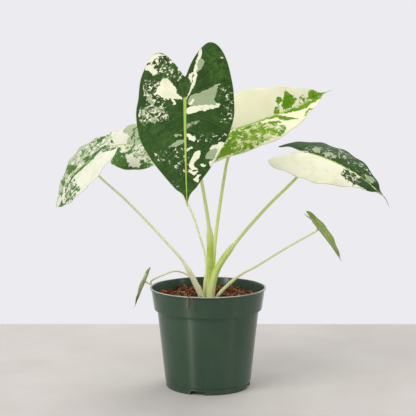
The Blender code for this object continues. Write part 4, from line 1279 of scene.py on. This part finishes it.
# Floor, backdrop, light and camera

stage = dict(floor="#ccc8c3", floorDark="#bfbab4", floorSize=12, floorDrop=0.0001,
             wall="#ecebf0", wallY=0.262, wallHalf=4.0, wallHeight=4.0, world="#f2f2f5", worldStrength=0.80)

lights = dict(
    softKey=dict(place=(-1.1, -1.0, 1.5), target=(0, 0, 0.15), size=(1.0, 1.0), power=17,
                 colour=(1.0, 0.99, 0.97)),
    # two strips that show only as gloss on the pot
    leftStrip=dict(place=(-0.76, -0.92, 0.15), target=(0, 0, 0.06), size=(0.05, 0.28), power=5.5,
                   colour=(1.0, 1.0, 0.9), glossOnly=True),
    rightStrip=dict(place=(1.00, -0.67, 0.15), target=(0, 0, 0.06), size=(0.05, 0.28), power=1.0,
                    colour=(1.0, 1.0, 0.9), glossOnly=True),
    backGlow=dict(place=(0.5, 0.9, 1.3), target=(0, 0, 0.2), size=(0.9, 0.9), power=9,
                  colour=(1.0, 1.0, 0.97)),
)


def makeFloor():
    material, tree, skin = newMaterial("paleConcrete", Specular_IOR_Level=0.0)
    where = millimetres(tree)
    cloud = mottle(where, 70.0, 2.0)["Value"]
    both = cloud * 0.7 + mottle(where, 3.0, 1.4)["Value"] * 0.3
    setSkin(skin, mixed(both, stage["floorDark"], stage["floor"]), cloud * 0.15 + 0.55)
    bpy.ops.mesh.primitive_plane_add(size=stage["floorSize"], location=(0, 0, -stage["floorDrop"]))
    floor = bpy.context.object
    floor.name = "paleFloor"
    floor.data.materials.append(material)


def makeWall():
    # opaque from the front, clear from behind, so that other views see past it
    material = bpy.data.materials.new("paleBackdrop")
    material.use_nodes = True
    tree = material.node_tree
    tree.nodes.remove(tree.nodes["Principled BSDF"])
    glow = put(tree, "Emission", {"Color": stage["wall"], "Strength": 1.0})
    choose = put(tree, "MixShader", {0: Signal(put(tree, "NewGeometry").outputs["Backfacing"]),
                                     1: Signal(glow.outputs[0]),
                                     2: Signal(put(tree, "BsdfTransparent").outputs[0])})
    feed(tree.nodes["Material Output"].inputs["Surface"], Signal(choose.outputs[0]))
    half, y, top = stage["wallHalf"], stage["wallY"], stage["wallHeight"]
    mesh = bpy.data.meshes.new("paleWall")
    mesh.from_pydata([(-half, y, 0), (half, y, 0), (half, y, top), (-half, y, top)], [], [(0, 1, 2, 3)])
    mesh.materials.append(material)
    wall = bpy.data.objects.new("paleWall", mesh)
    scene.collection.objects.link(wall)
    wall.visible_shadow = False


def addLight(name, place, target, size, power, colour, glossOnly=False):
    data = bpy.data.lights.new(name, "AREA")
    data.shape, data.size, data.size_y = "RECTANGLE", *size
    data.energy, data.color = power, colour
    obj = bpy.data.objects.new(name, data)
    scene.collection.objects.link(obj)
    obj.location = place
    obj.rotation_euler = (Vector(target) - Vector(place)).to_track_quat("-Z", "Y").to_euler()
    obj.visible_diffuse = not glossOnly


makeFloor()
makeWall()
for name, light in lights.items():
    addLight(name, **light)

world = bpy.data.worlds.new("paleRoom")
world.use_nodes = True
sky = world.node_tree.nodes["Background"]
feed(sky.inputs["Color"], stage["world"])
feed(sky.inputs["Strength"], stage["worldStrength"])
scene.world = world
scene.view_settings.view_transform = "Standard"

camera = dict(place=(0.0, -1.0, 0.2763), downward=6.257, focalPixels=1087.6, picture=416)
eye = bpy.data.cameras.new("eye")
eye.sensor_width = 36
eye.lens = camera["focalPixels"] / camera["picture"] * eye.sensor_width
eyeObject = bpy.data.objects.new("eye", eye)
eyeObject.location = camera["place"]
eyeObject.rotation_euler = (math.radians(90 - camera["downward"]), 0, 0)
scene.collection.objects.link(eyeObject)
scene.camera = eyeObject
print("stage made")
